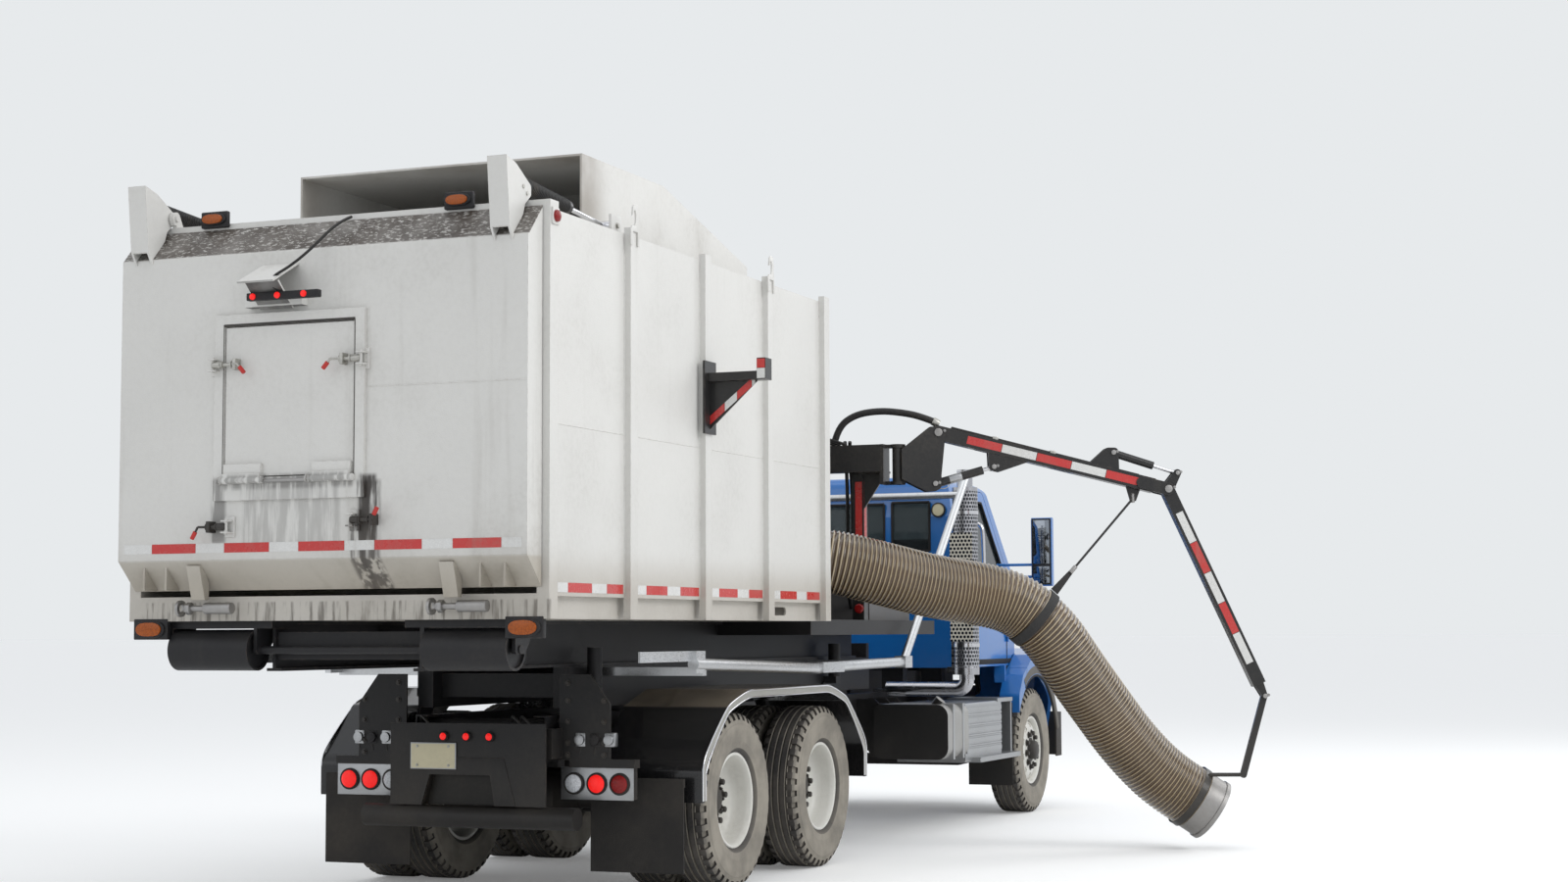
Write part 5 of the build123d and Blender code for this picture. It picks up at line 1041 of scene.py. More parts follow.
def make_hose():
    """Ribbed suction hose in four lengths, cut at three points of its route."""
    joints = (("bed", "mast"), ("mast", "main_boom"), ("main_boom", "outer_arm"), ("outer_arm", "tip"))
    for number, (points, bodies) in enumerate(zip(hose_line(), joints), 1):
        line = spaced(points, sizes().rib_pitch, len(RIB_SHAPE))
        radii = [RIB_SHAPE[k % len(RIB_SHAPE)] for k in range(len(line))]
        piece = ribbed_tube(f"ribbed_hose_{number}", line, radii, 40)
        parts = paint([piece], "hose", 60)
        if number == 4:
            inside = ribbed_tube("hose_lining", line[-60:], [0.2060, 0.2065] + [0.2060] * 58, 40)
            edit(inside)
            bpy.ops.mesh.flip_normals()
            done()
            parts += paint([inside], "hose", 60)
        whole = assemble_loose(f"ribbed_hose_{number}", parts)
        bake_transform(whole)
        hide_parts(f"hose_{number}")


def make_wheels():
    """Six wheels that turn on their own bodies."""
    sides = (("left", 1), ("right", -1))
    wheels = [(f"{axle}_{word}", rear_wheel, (x, side)) for axle, x in zip(("rear", "mid"), REAR_AXLES_X)
              for word, side in sides]
    wheels += [(f"front_{word}", front_wheel, (side,)) for word, side in sides]
    for name, make, values in wheels:
        whole = assemble(f"truck_wheel_{name}", f"wheel_{name}", make(*values))
        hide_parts(f"wheel_{name}")


# Tape

def tape_row(start, end, height, out, first, long=0.279, short=0.178, thick=TAPE_THICK):
    """Blocks of tape in turn red and white between two points, standing up from them by the vector height."""
    start, end, height, out = Vector(start), Vector(end), Vector(height), Vector(out) * thick
    run = end - start
    length, way = run.length, run.normalized()
    made, done_length, name = [], 0.0, first
    while done_length < length - 0.01:
        step = min(long if name == "tape_red" else short, length - done_length)
        a = start + way * (done_length + 0.001)
        b = start + way * (done_length + step - 0.001)
        made += paint([slab([a, b, b + height, a + height], out)], name)
        done_length += step
        name = "tape_white" if name == "tape_red" else "tape_red"
    return made


def make_tape():
    """Reflective tape on the box's sides, the gate and the boom's rest."""
    sides = []
    for side in (-1, 1):
        for rear, front in zip(POSTS_X, POSTS_X[1:]):
            low, high = rear + POST_WIDTH + 0.012, front - 0.012
            sides += tape_row((low, side * SHEET_Y, 1.735), (high, side * SHEET_Y, 1.735), (0, 0, 0.05), (0, side, 0),
                              "tape_white")
    assemble("side_tape", "bed", sides)
    # Row across the gate: y of its ends, from the left
    gate = tape_row((GATE_FACE_X, 1.195, 1.956), (GATE_FACE_X, -1.205, 1.956), (0, 0, 0.05), (-1, 0, 0), "tape_white",
                    thick=0.0015)
    assemble("gate_tape", "tailgate", gate)
    rest = tape_row((2.004, -1.289, 2.735), (2.004, -1.575, 2.965), (0, 0, 0.05), (-1, 0, 0), "tape_red", 0.12, 0.1)
    rest += tape_row((1.964, -1.602, 2.99), (1.964, -1.602, 3.105), (0, -0.05, 0), (-1, 0, 0), "tape_white", 0.06, 0.06)
    assemble("rest_tape", "bed", rest)


def beam_tape(first, last, start, end, half, drop, order):
    """Tape along both sides of a boom beam between two of its points in the boom's plane."""
    first, last = Vector(first), Vector(last)
    run = last - first
    way = run.normalized()
    across = Vector((-way.y, way.x)) * drop
    made = []
    for k, name in enumerate(order):
        low = start + (end - start) * k / len(order) + 0.002
        high = start + (end - start) * (k + 1) / len(order) - 0.002
        for side in (-1, 1):
            corners = []
            for along, rise in ((low, -1), (high, -1), (high, 1), (low, 1)):
                spot = first + way * along + across * rise
                corners.append(boom_at(spot.x, spot.y, side * half))
            made += paint([slab(corners, boom_side(side) * TAPE_THICK)], name)
    return made


# Boom

def boom_wire(points, radius):
    """Hydraulic hose through (s, z, out) points of the boom's plane."""
    return wire([boom_at(*point) for point in points], radius, 2)


def pin_head(point, out, radius):
    """Round pin end with its keeper bolt on a boom joint."""
    side = 1 if out > 0 else -1
    s, z = point
    head = bar(boom_at(s, z, out), boom_at(s, z, out + side * PIN_THICK), radius, 24, 0.002)
    return paint([head] + bolts([boom_at(s + radius * 1.6, z + radius * 0.4, out)], boom_side(side), 0.007, 0.007),
                 "steel")


def make_boom():
    """Hoses, pins, tape, strap and sling of the boom."""
    beam = math.hypot(ELBOW_PIN[0] - BOOM_PIN[0], ELBOW_PIN[1] - BOOM_PIN[1])
    fall = math.hypot(TIP_PIN[0] - ELBOW_PIN[0], TIP_PIN[1] - ELBOW_PIN[1])
    main = beam_tape(BOOM_PIN, ELBOW_PIN, 0.21, beam - 0.20, 0.050, 0.028,
                     ("tape_red", "tape_white", "tape_red", "tape_white", "tape_red"))
    for lift, out in ((0.058, -0.026), (0.060, 0.004), (0.058, 0.032)):
        rise = [(BOOM_PIN[0] + 0.10 + k * (beam - 0.35) / 4,
                 BOOM_PIN[1] + (ELBOW_PIN[1] - BOOM_PIN[1]) * (0.06 + k * 0.21) + lift, out) for k in range(5)]
        main += paint([boom_wire(rise, 0.0095)], "cable", 60)
    for part in (0.25, 0.5, 0.75):
        s, z = Vector(BOOM_PIN).lerp(Vector(ELBOW_PIN), part)
        clamp = [boom_at(s + along, z + rise, out) for along, rise, out in (
            (-0.02, 0.048, -0.045), (0.02, 0.043, -0.045), (0.02, 0.043, 0.045), (-0.02, 0.048, 0.045))]
        main += paint([slab(clamp, (0, 0, 0.026), 0.003)], "zinc")
    for out in (-0.062, 0.062):
        main += pin_head(ELBOW_PIN, out, 0.027)
    for out in (-0.0465, 0.0465):
        main += pin_head(ELBOW_BASE, out, 0.017) + pin_head(LIFT_EYE, out, 0.017)
    # Webbing round the hose, its sling and the shackle under the boom
    route = [Vector(point) for point in HOSE_ROUTE]
    middle = (route[5] + route[6]) / 2
    way = (route[6] - route[5]).normalized()
    band = collar(0.2205, 0.2245, -0.034, 0.034, middle, way, 56)
    anchor = Vector(boom_at(1.651, 2.451))
    rise = anchor - middle
    rise = (rise - way * rise.dot(way)).normalized()
    knot = middle + rise * 0.235
    foot = knot + (anchor - knot) * 0.22
    wide = way * 0.030
    sling = slab([knot - wide, knot + wide, foot + wide * 0.5, foot - wide * 0.5], (0.006, 0.004, 0.0), 0.001)
    main += paint([band, sling, bar(foot, anchor, 0.0085, 14)], "strap")
    main += paint([bar(foot - (anchor - knot) * 0.02, foot + (anchor - knot) * 0.05, 0.016, 16, 0.003),
                   bar(anchor - Vector((0, 0, 0.03)), anchor + Vector((0, 0, 0.035)), 0.013, 16, 0.003)],
                  "steel")
    lug = [boom_at(s, z, -0.007) for s, z in ((1.590, 2.575), (1.710, 2.535), (1.672, 2.432), (1.630, 2.432))]
    main += paint([slab(lug, boom_side(0.014), 0.002)], "boom")
    assemble("main_boom_rigging", "main_boom", main)

    arm = beam_tape(ELBOW_PIN, TIP_PIN, 0.18, fall - 0.25, 0.045, 0.026,
                    ("tape_white", "tape_red", "tape_white", "tape_red", "tape_white"))
    for out in (-0.045, 0.045):
        arm += pin_head(TIP_PIN, -0.034 if out < 0 else 0.034, 0.016) + pin_head(ELBOW_EYE, out, 0.015)
    arm += paint([boom_wire([(1.93, 2.47, 0.0), (2.02, 2.30, 0.058), (2.20, 1.86, 0.056), (2.36, 1.46, 0.054)],
                            0.008)], "cable", 60)
    assemble("outer_arm_rigging", "outer_arm", arm)

    mast = []
    for out in (-0.074, 0.074):
        mast += pin_head(BOOM_PIN, out, 0.028) + pin_head(LIFT_BASE, out, 0.018)
    assemble("mast_pins", "mast", mast)

    # Bare band and pin wire on the lift cylinder
    start, way = Vector(LIFT_BASE), (Vector(LIFT_EYE) - Vector(LIFT_BASE)).normalized()
    low, high = start + way * 0.11, start + way * 0.20
    sleeve = bar(boom_at(*low), boom_at(*high), 0.0308, 30, 0.001)
    assemble("lift_band", "lift_barrel", paint([sleeve], "aluminium") + paint(
        [boom_wire([(low.x - 0.09, low.y - 0.06, -0.03), (low.x - 0.02, low.y - 0.075, -0.04),
                    (low.x, low.y - 0.03, -0.032)], 0.003)], "zinc", 60))

    # Hoses in a spiral guard that arch from the mount to the mast's head
    arch = [(5.010, -0.930, 2.835), (5.010, -0.960, 2.960), (5.030, -1.080, 3.050), (5.070, -1.250, 3.075),
            (5.110, -1.400, 3.060), boom_at(0.16, 3.030), boom_at(0.270, 2.985)]
    guard = wire(arch, 0.024, 3)
    hoses = paint([guard], "cable", 60)
    hoses += paint([bar(boom_at(0.245, 2.997), boom_at(0.290, 2.972), 0.030, 20, 0.003),
                    bar((5.010, -0.930, 2.820), (5.010, -0.934, 2.870), 0.030, 20, 0.003)], "zinc")
    arched = assemble_loose("mount_hose", hoses)
    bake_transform(arched)
    tall = bolts([(5.115, -1.075, z) for z in (2.70, 2.76, 2.80)], (1, 0, 0), 0.014, 0.011)
    tall += bolts([(5.075 + 0.02 * k, -1.083, 2.826) for k in (0, 2)], (0, 0, 1), 0.012, 0.01)
    parts = paint([wire([(4.98, -0.95 - 0.04 * k, 2.835), (4.97, -0.80 - 0.03 * k, 2.90),
                         (4.99, -0.62, 2.86 + 0.02 * k), (5.01, -0.42, 2.84)], 0.011) for k in range(3)], "cable", 60)
    parts += paint(tall, "zinc")
    parts += tape_row((5.085, -1.126, 1.75), (5.085, -1.126, 2.58), (0.05, 0, 0), (0, -1, 0), "tape_red", 1.0)
    parts += tape_row((5.074, -1.115, 1.75), (5.074, -1.115, 2.58), (0, 0.05, 0), (-1, 0, 0), "tape_red", 1.0)
    lamp = lathe([(0.0, 0.0), (0.033, 0.0), (0.033, 0.012), (0.026, 0.020), (0.0, 0.024)], (5.074, -1.090, 1.690),
                 (-1, 0, 0), 28)
    parts += paint([lamp], "red_lens")
    assemble("mount_hoses", "bed", parts)


# Gate

def screw_latch(hinge, tip, grip_end, tone="zinc"):
    """Over-centre clamp on the gate's face: hinged barrel, threaded rod, nut and a red-tipped handle."""
    x = GATE_FACE_X - 0.045
    y0, y1, z = hinge[0], tip[0], hinge[1]
    parts = [block((GATE_FACE_X - 0.012, y0 - 0.030, z - 0.055), (GATE_FACE_X, y0 + 0.030, z + 0.055), 0.003)]
    for low in (z - 0.034, z + 0.026):
        parts.append(block((x - 0.020, y0 - 0.022, low), (GATE_FACE_X - 0.010, y0 + 0.022, low + 0.008), 0.002))
    parts.append(bar((x, y0, z - 0.042), (x, y0, z + 0.042), 0.009, 16))
    # Barrel, threaded rod, nut and end, as shares of the run from the hinge
    run = y1 - y0
    barrel = [bar((x, y0 + run * first, z), (x, y0 + run * last, z), radius, sides, bevel)
              for first, last, radius, sides, bevel in (
                  (0.0, 0.42, 0.019, 22, 0.002), (0.40, 1.0, 0.010, 16, 0.0), (0.44, 0.52, 0.021, 6, 0.002),
                  (0.93, 1.0, 0.022, 22, 0.003))]
    hook = [block((x - 0.020, y1 - 0.028, z - 0.030), (GATE_FACE_X, y1 - 0.006, z + 0.030), 0.004)]
    bend = (x - 0.024, y1 + (grip_end[0] - y1) * 0.7, z)
    last = (x - 0.024, *grip_end)
    handle = [bar((x - 0.012, y1, z), bend, 0.0065, 14, 0.001), bar(bend, last, 0.0065, 14, 0.001)]
    way = (Vector(last) - Vector(bend)).normalized()
    grip = [bar(Vector(last) - way * 0.004, Vector(last) + way * 0.040, 0.012, 18, 0.003)]
    return paint(parts, "gate") + paint(barrel + hook + handle, tone) + paint(grip, "red_grip")


def make_gate():
    """Latches, access door's hinge and seal, bottom screws, light bar's cable and lamps, and lever bolts."""
    parts = screw_latch((0.615, 2.945), (0.490, 2.945), (0.430, 2.925))
    parts += screw_latch((-0.290, 2.945), (-0.165, 2.945), (-0.105, 2.925))
    parts += screw_latch((0.520, 2.090), (0.640, 2.090), (0.695, 2.062), "hub")
    parts += screw_latch((-0.240, 2.110), (-0.350, 2.110), (-0.392, 2.135), "hub")
    # Hinge knuckles and pin along the door's foot
    for y in (-0.225, 0.320):
        parts += paint([bar((-0.200, y - 0.02, 2.332), (-0.200, y + 0.25, 2.332), 0.0185, 22, 0.002),
                        bar((-0.200, y + 0.25, 2.332), (-0.200, y + 0.262, 2.332), 0.022, 22, 0.002)], "gate")
    parts += paint([bar((-0.196, 0.045, 2.326), (-0.196, 0.300, 2.326), 0.010, 20, 0.001)], "steel")
    # Rubber seal round the access door
    left, right, low, high = DOOR_Y[0] - 0.004, DOOR_Y[1] + 0.004, DOOR_Z[0], DOOR_Z[1] + 0.006
    for a, b, radius in (((left, high), (right, high), 0.007), ((left, low), (left, high), 0.0035),
                         ((right, low), (right, high), 0.0035)):
        parts += paint([bar((-0.180, *a), (-0.180, *b), radius, 12)], "hub")
    # Bottom screws beside the gussets
    for y in (-0.765, 0.765):
        screw = [bar((-0.075, y + first, 1.665), (-0.075, y + last, 1.665), radius, sides, bevel)
                 for first, last, radius, sides, bevel in (
                     (-0.20, -0.03, 0.030, 24, 0.003), (-0.03, 0.10, 0.016, 16, 0.0), (0.055, 0.085, 0.034, 6, 0.003))]
        screw.append(collar(0.022, 0.044, -0.008, 0.008, (-0.075, y + 0.125, 1.665), (0, 1, 0), 24))
        parts += paint(screw, "steel")
    # Light bar's cable and its three lamps
    parts += paint([wire([(-0.02, -0.11, 3.72), (-0.12, -0.09, 3.68), (-0.26, -0.02, 3.52), (-0.34, 0.06, 3.42),
                          (-0.345, 0.16, 3.375), (-0.300, 0.20, 3.330), (-0.285, 0.14, 3.300)], 0.008)],
                   "cable", 60)
    parts += paint([block((-0.306, -0.090, 3.262), (-0.266, 0.345, 3.302), 0.005),
                    block((-0.272, 0.150, 3.270), (-0.240, 0.310, 3.296), 0.003)], "plastic")
    for y in (0.305, 0.155, -0.005):
        parts += paint([lathe([(0.0, 0.0), (0.0175, 0.0), (0.0165, 0.006), (0.010, 0.010), (0.0, 0.011)],
                              (-0.306, y, 3.282), (-1, 0, 0), 22)], "red_lit")
    # Lever bolts
    for side in (-1, 1):
        for y in (1.045, 1.145):
            parts += paint(bolts([(-0.06, side * y, 3.80), (-0.02, side * y, 3.77)], (0, side, 0), 0.012, 0.009),
                           "zinc")
    assemble("gate_fittings", "tailgate", parts)


def oval_lamp(centre, normal, colour, width, height):
    """Oval lamp in a black ring, looking along x or y."""
    sides = 28
    made = []
    for grow, out_from, out_to, name in ((1.22, 0.0, 0.016, "plastic"), (1.0, 0.012, 0.026, colour)):
        ring = []
        for k in range(sides):
            angle = 2 * math.pi * k / sides
            u = math.copysign(abs(math.cos(angle)) ** 0.7, math.cos(angle)) * width / 2 * grow
            v = math.copysign(abs(math.sin(angle)) ** 0.9, math.sin(angle)) * height / 2 * grow
            along = Vector((0, u, v)) if abs(normal[0]) > 0.5 else Vector((u, 0, v))
            ring.append(Vector(centre) + along + Vector(normal) * out_from)
        made += paint([slab(ring, Vector(normal) * (out_to - out_from), 0.005)], name)
    return made


def make_box():
    """Lamps, hook plates, seams, welds and corner gussets of the box."""
    parts = []
    for y in (0.745, -0.755):
        parts += paint([block((-0.030, y - 0.085, 3.716), (0.0, y + 0.085, 3.806), 0.008)], "plastic")
        parts += oval_lamp((-0.030, y, 3.762), (-1, 0, 0), "amber", 0.125, 0.052)
    for y in (-1.135, 1.135):
        parts += oval_lamp((-0.004, y, 1.555), (-1, 0, 0), "amber", 0.16, 0.075)
        parts += paint([block((-0.004, y - 0.11, 1.50), (0.03, y + 0.11, 1.612), 0.006)], "frame")
    for side in (-1, 1):
        # Side lamp at the head of the first post
        lamp_y = side * POST_Y
        parts += paint([block((0.012, lamp_y, 3.612), (0.088, lamp_y + side * 0.010, 3.700), 0.004)], "box")
        parts += paint([lathe([(0.0, 0.0), (0.032, 0.0), (0.030, 0.012), (0.016, 0.020), (0.0, 0.021)],
                              (0.050, lamp_y + side * 0.010, 3.656), (0, side, 0), 26)], "red_lens")
        # Sheet seam and the weld beads beside the posts
        for rear, front in zip(POSTS_X, POSTS_X[1:]):
            a, b = rear + POST_WIDTH, front
            parts += paint([bar((a, side * SHEET_Y, 2.600), (b, side * SHEET_Y, 2.600), 0.0035, 8)], "box")
            for x in (a, b):
                parts += paint([bar((x, side * SHEET_Y, 1.74), (x, side * SHEET_Y, 3.60), 0.0045, 8)], "box")
        # Hook plate and stay for the gate's cylinder
        parts += paint([block((0.940, side * 1.150, 3.66), (1.070, side * 1.166, 3.82), 0.006)], "box")
        parts += paint(bolts([(0.975, side * 1.166, 3.70), (1.04, side * 1.166, 3.70), (1.01, side * 1.166, 3.76)],
                             (0, side, 0), 0.013, 0.010), "zinc")
        # Gussets under the roof beam, and tarp hooks on two posts
        for rear in POSTS_X[1:4]:
            edge = rear + POST_WIDTH
            parts += paint([plate([(edge, 3.60), (edge + 0.07, 3.60), (edge, 3.53)], "y", side * SHEET_Y,
                                  side * (SHEET_Y + 0.010))], "box")
        for rear in (POSTS_X[1], POSTS_X[3]):
            hook = [(rear + u, z) for u, z in HOOK_OUTLINE]
            parts += paint([plate(hook, "y", side * (POST_Y + 0.0005), side * (POST_Y + 0.0105), 0.0015)], "box")
    seam_x = GATE_FACE_X - 0.0005
    parts += paint([bar((seam_x, -GATE_HALF_Y + 0.01, 2.80), (seam_x, -0.31, 2.80), 0.003, 8)], "box")
    # Bolts round the roof hood's flange
    flange = [(1.16 + 0.2 * k, side * 0.937, 3.716) for k in range(12) for side in (-1, 1)]
    parts += paint(bolts(flange, (0, 0, 1), 0.011, 0.008), "zinc")
    assemble("box_fittings", "bed", parts)
    # Bands round the gate's cylinders
    start, end = Vector((-0.175, 0.0, 3.843)), Vector((1.010, 0.0, 3.760))
    way = (end - start).normalized()
    profile = [(radius, along + 0.016 * k) for k in range(38) for radius, along in (
        (0.0382, 0.080), (0.0382, 0.086), (0.0412, 0.087), (0.0412, 0.095))]
    profile += [(0.0382, 0.690), (0.0300, 0.690), (0.0300, 0.080), profile[0]]
    ribs = [lathe(profile, (start.x, side * 1.095, start.z), tuple(way), 26) for side in (-1, 1)]
    assemble("gate_cylinder_bands", "gate_barrels", paint(ribs, "cable"))


# Tail and fenders

def make_tail():
    """Lamps, connectors, blank plate, bolts, cables and the recess's cover at the tail."""
    parts = []
    for side in (-1, 1):
        for y, name in ((0.600, "clear_lens"), (0.745, "red_lit"), (0.890, "red_lit" if side > 0 else "red_lens")):
            ring = [lathe([(0.052, 0.0), (0.064, 0.0), (0.064, 0.012), (0.052, 0.016), (0.052, 0.0)],
                          (1.629, side * y, 0.668), (-1, 0, 0), 30)]
            dome = [lathe([(0.0, 0.0), (0.053, 0.0), (0.050, 0.010), (0.036, 0.018), (0.0, 0.023)],
                          (1.621, side * y, 0.668), (-1, 0, 0), 30)]
            parts += paint(ring, "rubber") + paint(dome, name)
        parts += paint([block((1.6275, side * 0.515, 0.576), (1.6305, side * 0.975, 0.762), 0.001)], "aluminium")
        parts += paint(bolts([(1.6235, side * 0.560, z) for z in (0.83, 0.90, 1.02, 1.14, 1.24)]
                             + [(1.6235, side * 0.79, z) for z in (0.83, 0.90, 1.02, 1.14)], (-1, 0, 0), 0.012,
                             0.010), "hub")
        for k, y in enumerate((0.64, 0.735, 0.825)):
            body = [block((1.62, side * y - 0.033, 0.876), (1.672, side * y + 0.033, 0.958), 0.008)]
            body += [bar((1.60, side * y, 0.917), (1.622, side * y, 0.917), 0.030, 24, 0.003)]
            parts += paint(body, "plastic" if k % 2 else "aluminium")
            parts += paint([wire([(1.63, side * y, 0.88), (1.62, side * y, 0.84), (1.66, side * (y - 0.03), 0.80),
                                  (1.70, side * (y - 0.05), 0.80)], 0.007)], "cable", 60)
    for y in (-0.15, 0.0, 0.15):
        body = lathe([(0.025, 0.0), (0.030, 0.0), (0.029, 0.017), (0.024, 0.021), (0.020, 0.018)], (1.450, y, 0.935),
                     (-1, 0, 0), 24)
        face = lathe([(0.021, 0.016), (0.020, 0.021), (0.012, 0.025), (0.0, 0.026)], (1.450, y, 0.935), (-1, 0, 0), 20)
        parts += paint([body], "rubber") + paint([face], "red_lit")
    parts += paint([block((1.436, 0.075, 0.752), (1.4415, 0.362, 0.892), 0.002)], "plate")
    parts += paint([block((1.4400, 0.068, 0.746), (1.4465, 0.369, 0.898), 0.002)], "aluminium")
    parts += paint(bolts([(1.436, y, z) for y in (0.115, 0.322) for z in (0.768, 0.877)], (-1, 0, 0), 0.006, 0.005),
                   "zinc")
    # Cover welded over the top and right of the recess, and cables along the apron's foot
    cover = plate([(-0.315, 0.541), (-0.180, 0.541), (-0.150, 0.715), (0.262, 0.715), (0.238, 0.815), (-0.238, 0.815)],
                  "x", 1.4462, 1.4502, 0.001)
    parts += paint([cover], "apron")
    for y in (-0.42, -0.36, 0.24):
        parts += paint([wire([(1.46, y, 0.99), (1.455, y + 0.04, 1.03), (1.50, y + 0.10, 1.06), (1.62, y + 0.16, 1.02)],
                             0.008)], "cable", 60)
    assemble("tail_fittings", "chassis", parts)


def make_fenders():
    """Twin bright strips along the fenders' edges and the flat band between them."""
    parts = []
    middle, edge_y, top = 3.302, 1.2755, 1.185
    for side in (-1, 1):
        for rise, radius in ((0.0, 0.0055), (0.042, 0.0045), (0.021, 0.0190)):
            # Half of the route: from the fenders' middle, and up
            half = 1.380 - rise
            arm = ((half, 0.56), (half, 0.70), (half, 0.76 - rise), (half - 0.05, 0.84 - rise),
                   (1.03, top - 0.105 - rise), (0.95, top - 0.070 - rise), (0.69, top - 0.006 - rise),
                   (0.55, top - 0.006 - rise))
            route = [(middle - across, z) for across, z in arm] + [(middle + across, z) for across, z in reversed(arm)]
            strip = wire([(x, side * edge_y, z) for x, z in route], radius, 2)
            if radius > 0.01:
                # The wide band between the two lines is pressed flat
                flatten(strip, side * edge_y, 0.10)
            parts += paint([strip], "zinc" if radius > 0.01 else "chrome", 60)
    assemble("fender_strips", "chassis", parts)


# Cab

def pane(points, thick):
    """Sheet of glass through four corners, thickened inwards along thick."""
    return paint([slab(points, thick)], "glass")


def ring_of(points, radius, name="rubber"):
    """Seal along the edge of a pane."""
    return paint([bar(a, b, radius, 10) for a, b in zip(points, [*points[1:], points[0]])], name)


def screen_x(z):
    """x of the windscreen's face at a height."""
    return 9.060 - 0.5753 * (z - 1.960)


def make_cab_glass():
    """Windscreen, rear windows, seals, wipers, handles, lamps and trim of the cab."""
    parts = []
    screen = ((0.870, 2.010), (-0.870, 2.010), (-0.778, 2.642), (0.778, 2.642))
    parts += pane([(screen_x(z) - 0.012, y, z) for y, z in screen], (-0.006, 0, -0.003))
    parts += ring_of([(screen_x(z) + 0.002, y, z) for y, z in screen], 0.012)
    # Rear windows: right, left, foot and top edge
    for right, left, foot, head in ((-0.395, 0.395, 2.135, 2.555), (0.465, 0.780, 2.175, 2.565),
                                    (-0.780, -0.465, 2.175, 2.565)):
        corners = ((right, foot), (left, foot), (left, head), (right, head))
        parts += pane([(7.590, y, z) for y, z in corners], (0.006, 0, 0))
        parts += ring_of([(7.578, y, z) for y, z in corners], 0.011)
    # Round lamp and its ring on the cab's back
    parts += paint([lathe([(0.0, 0.018), (0.045, 0.016), (0.052, 0.010), (0.052, 0.0)], (7.576, -0.860, 2.500),
                          (-1, 0, 0), 30)], "plate")
    parts += paint([lathe([(0.050, 0.0), (0.060, 0.0), (0.060, 0.014), (0.050, 0.018), (0.050, 0.0)],
                          (7.577, -0.860, 2.500), (-1, 0, 0), 30)], "plastic")
    # Bright rail over the rear windows
    parts += paint([block((7.562, -0.86, 2.606), (7.582, 0.86, 2.640), 0.006)], "aluminium")
    # Wipers: each end's way forward of the glass, way to the left and z, then radius and sides
    for y in (-0.52, 0.12):
        for (ahead, left, low), (ahead_2, left_2, high), radius, sides in (
                ((0.03, 0.0, 2.0), (0.02, 0.06, 2.05), 0.014, 14),
                ((0.022, 0.05, 2.04), (0.016, 0.46, 2.10), 0.006, 10),
                ((0.010, 0.12, 2.07), (0.008, 0.62, 2.14), 0.007, 8)):
            parts += paint([bar((screen_x(low) + ahead, y + left, low), (screen_x(high) + ahead_2, y + left_2, high),
                                radius, sides)], "rubber")
    # Roof marker lamps
    for y in (-0.62, -0.15, 0.0, 0.15, 0.62):
        parts += paint([lathe([(0.046, 0.0), (0.044, 0.014), (0.030, 0.028), (0.0, 0.034)], (8.50, y, 2.766),
                              (0, 0, 1), 20)], "amber")
    # Grab handle and foot strip by each door
    for side in (-1, 1):
        parts += paint([wire([(7.800, side * 1.028, 1.72), (7.800, side * 1.150, 1.72), (7.800, side * 1.165, 1.78),
                              (7.800, side * 1.165, 2.30), (7.800, side * 1.140, 2.41), (7.800, side * 0.985, 2.42)],
                             0.016, 3)], "chrome", 60)
        parts += paint([block((7.70, side * 1.032, 1.262), (8.98, side * 1.041, 1.300), 0.004)], "rubber")
    assemble("cab_glass", "chassis", parts)


def make_doors():
    """Side glass, seals, handles and mirror faces that swing with the doors."""
    for name, side in (("door_left", 1), ("door_right", -1)):
        lean = 0.110 / 0.690

        def skin(z):
            return 1.035 - max(0.0, z - 2.020) * lean

        outline = ((7.945, 2.065), (8.752, 2.008), (8.742, 2.105), (8.462, 2.595), (7.945, 2.595))
        points = [(x, side * (skin(z) - 0.016), z) for x, z in outline]
        parts = pane(points, (0, -side * 0.005, 0))
        parts += ring_of([(x, side * (skin(z) - 0.004), z) for x, z in outline], 0.010)
        parts += paint([block((7.955, side * 1.058, 1.884), (8.065, side * 1.074, 1.910), 0.006)], "plastic")
        # Shut line along the door's foot and front
        gap = [(7.850, 1.262), (8.850, 1.262), (8.850, 2.060)]
        parts += paint([bar((a[0], side * 1.0345, a[1]), (b[0], side * 1.0345, b[1]), 0.005, 8)
                        for a, b in zip(gap, gap[1:])], "rubber")
        # Mirror glass on the rearward face
        for low, high in ((2.085, 2.450), (1.925, 2.065)):
            parts += paint([block((8.584, side * 1.352, low), (8.590, side * 1.493, high), 0.004)], "mirror")
        parts += paint([block((8.587, side * 1.340, 1.912), (8.5915, side * 1.505, 2.462), 0.002)], "plastic")
        assemble(f"{name}_glass", name, parts)


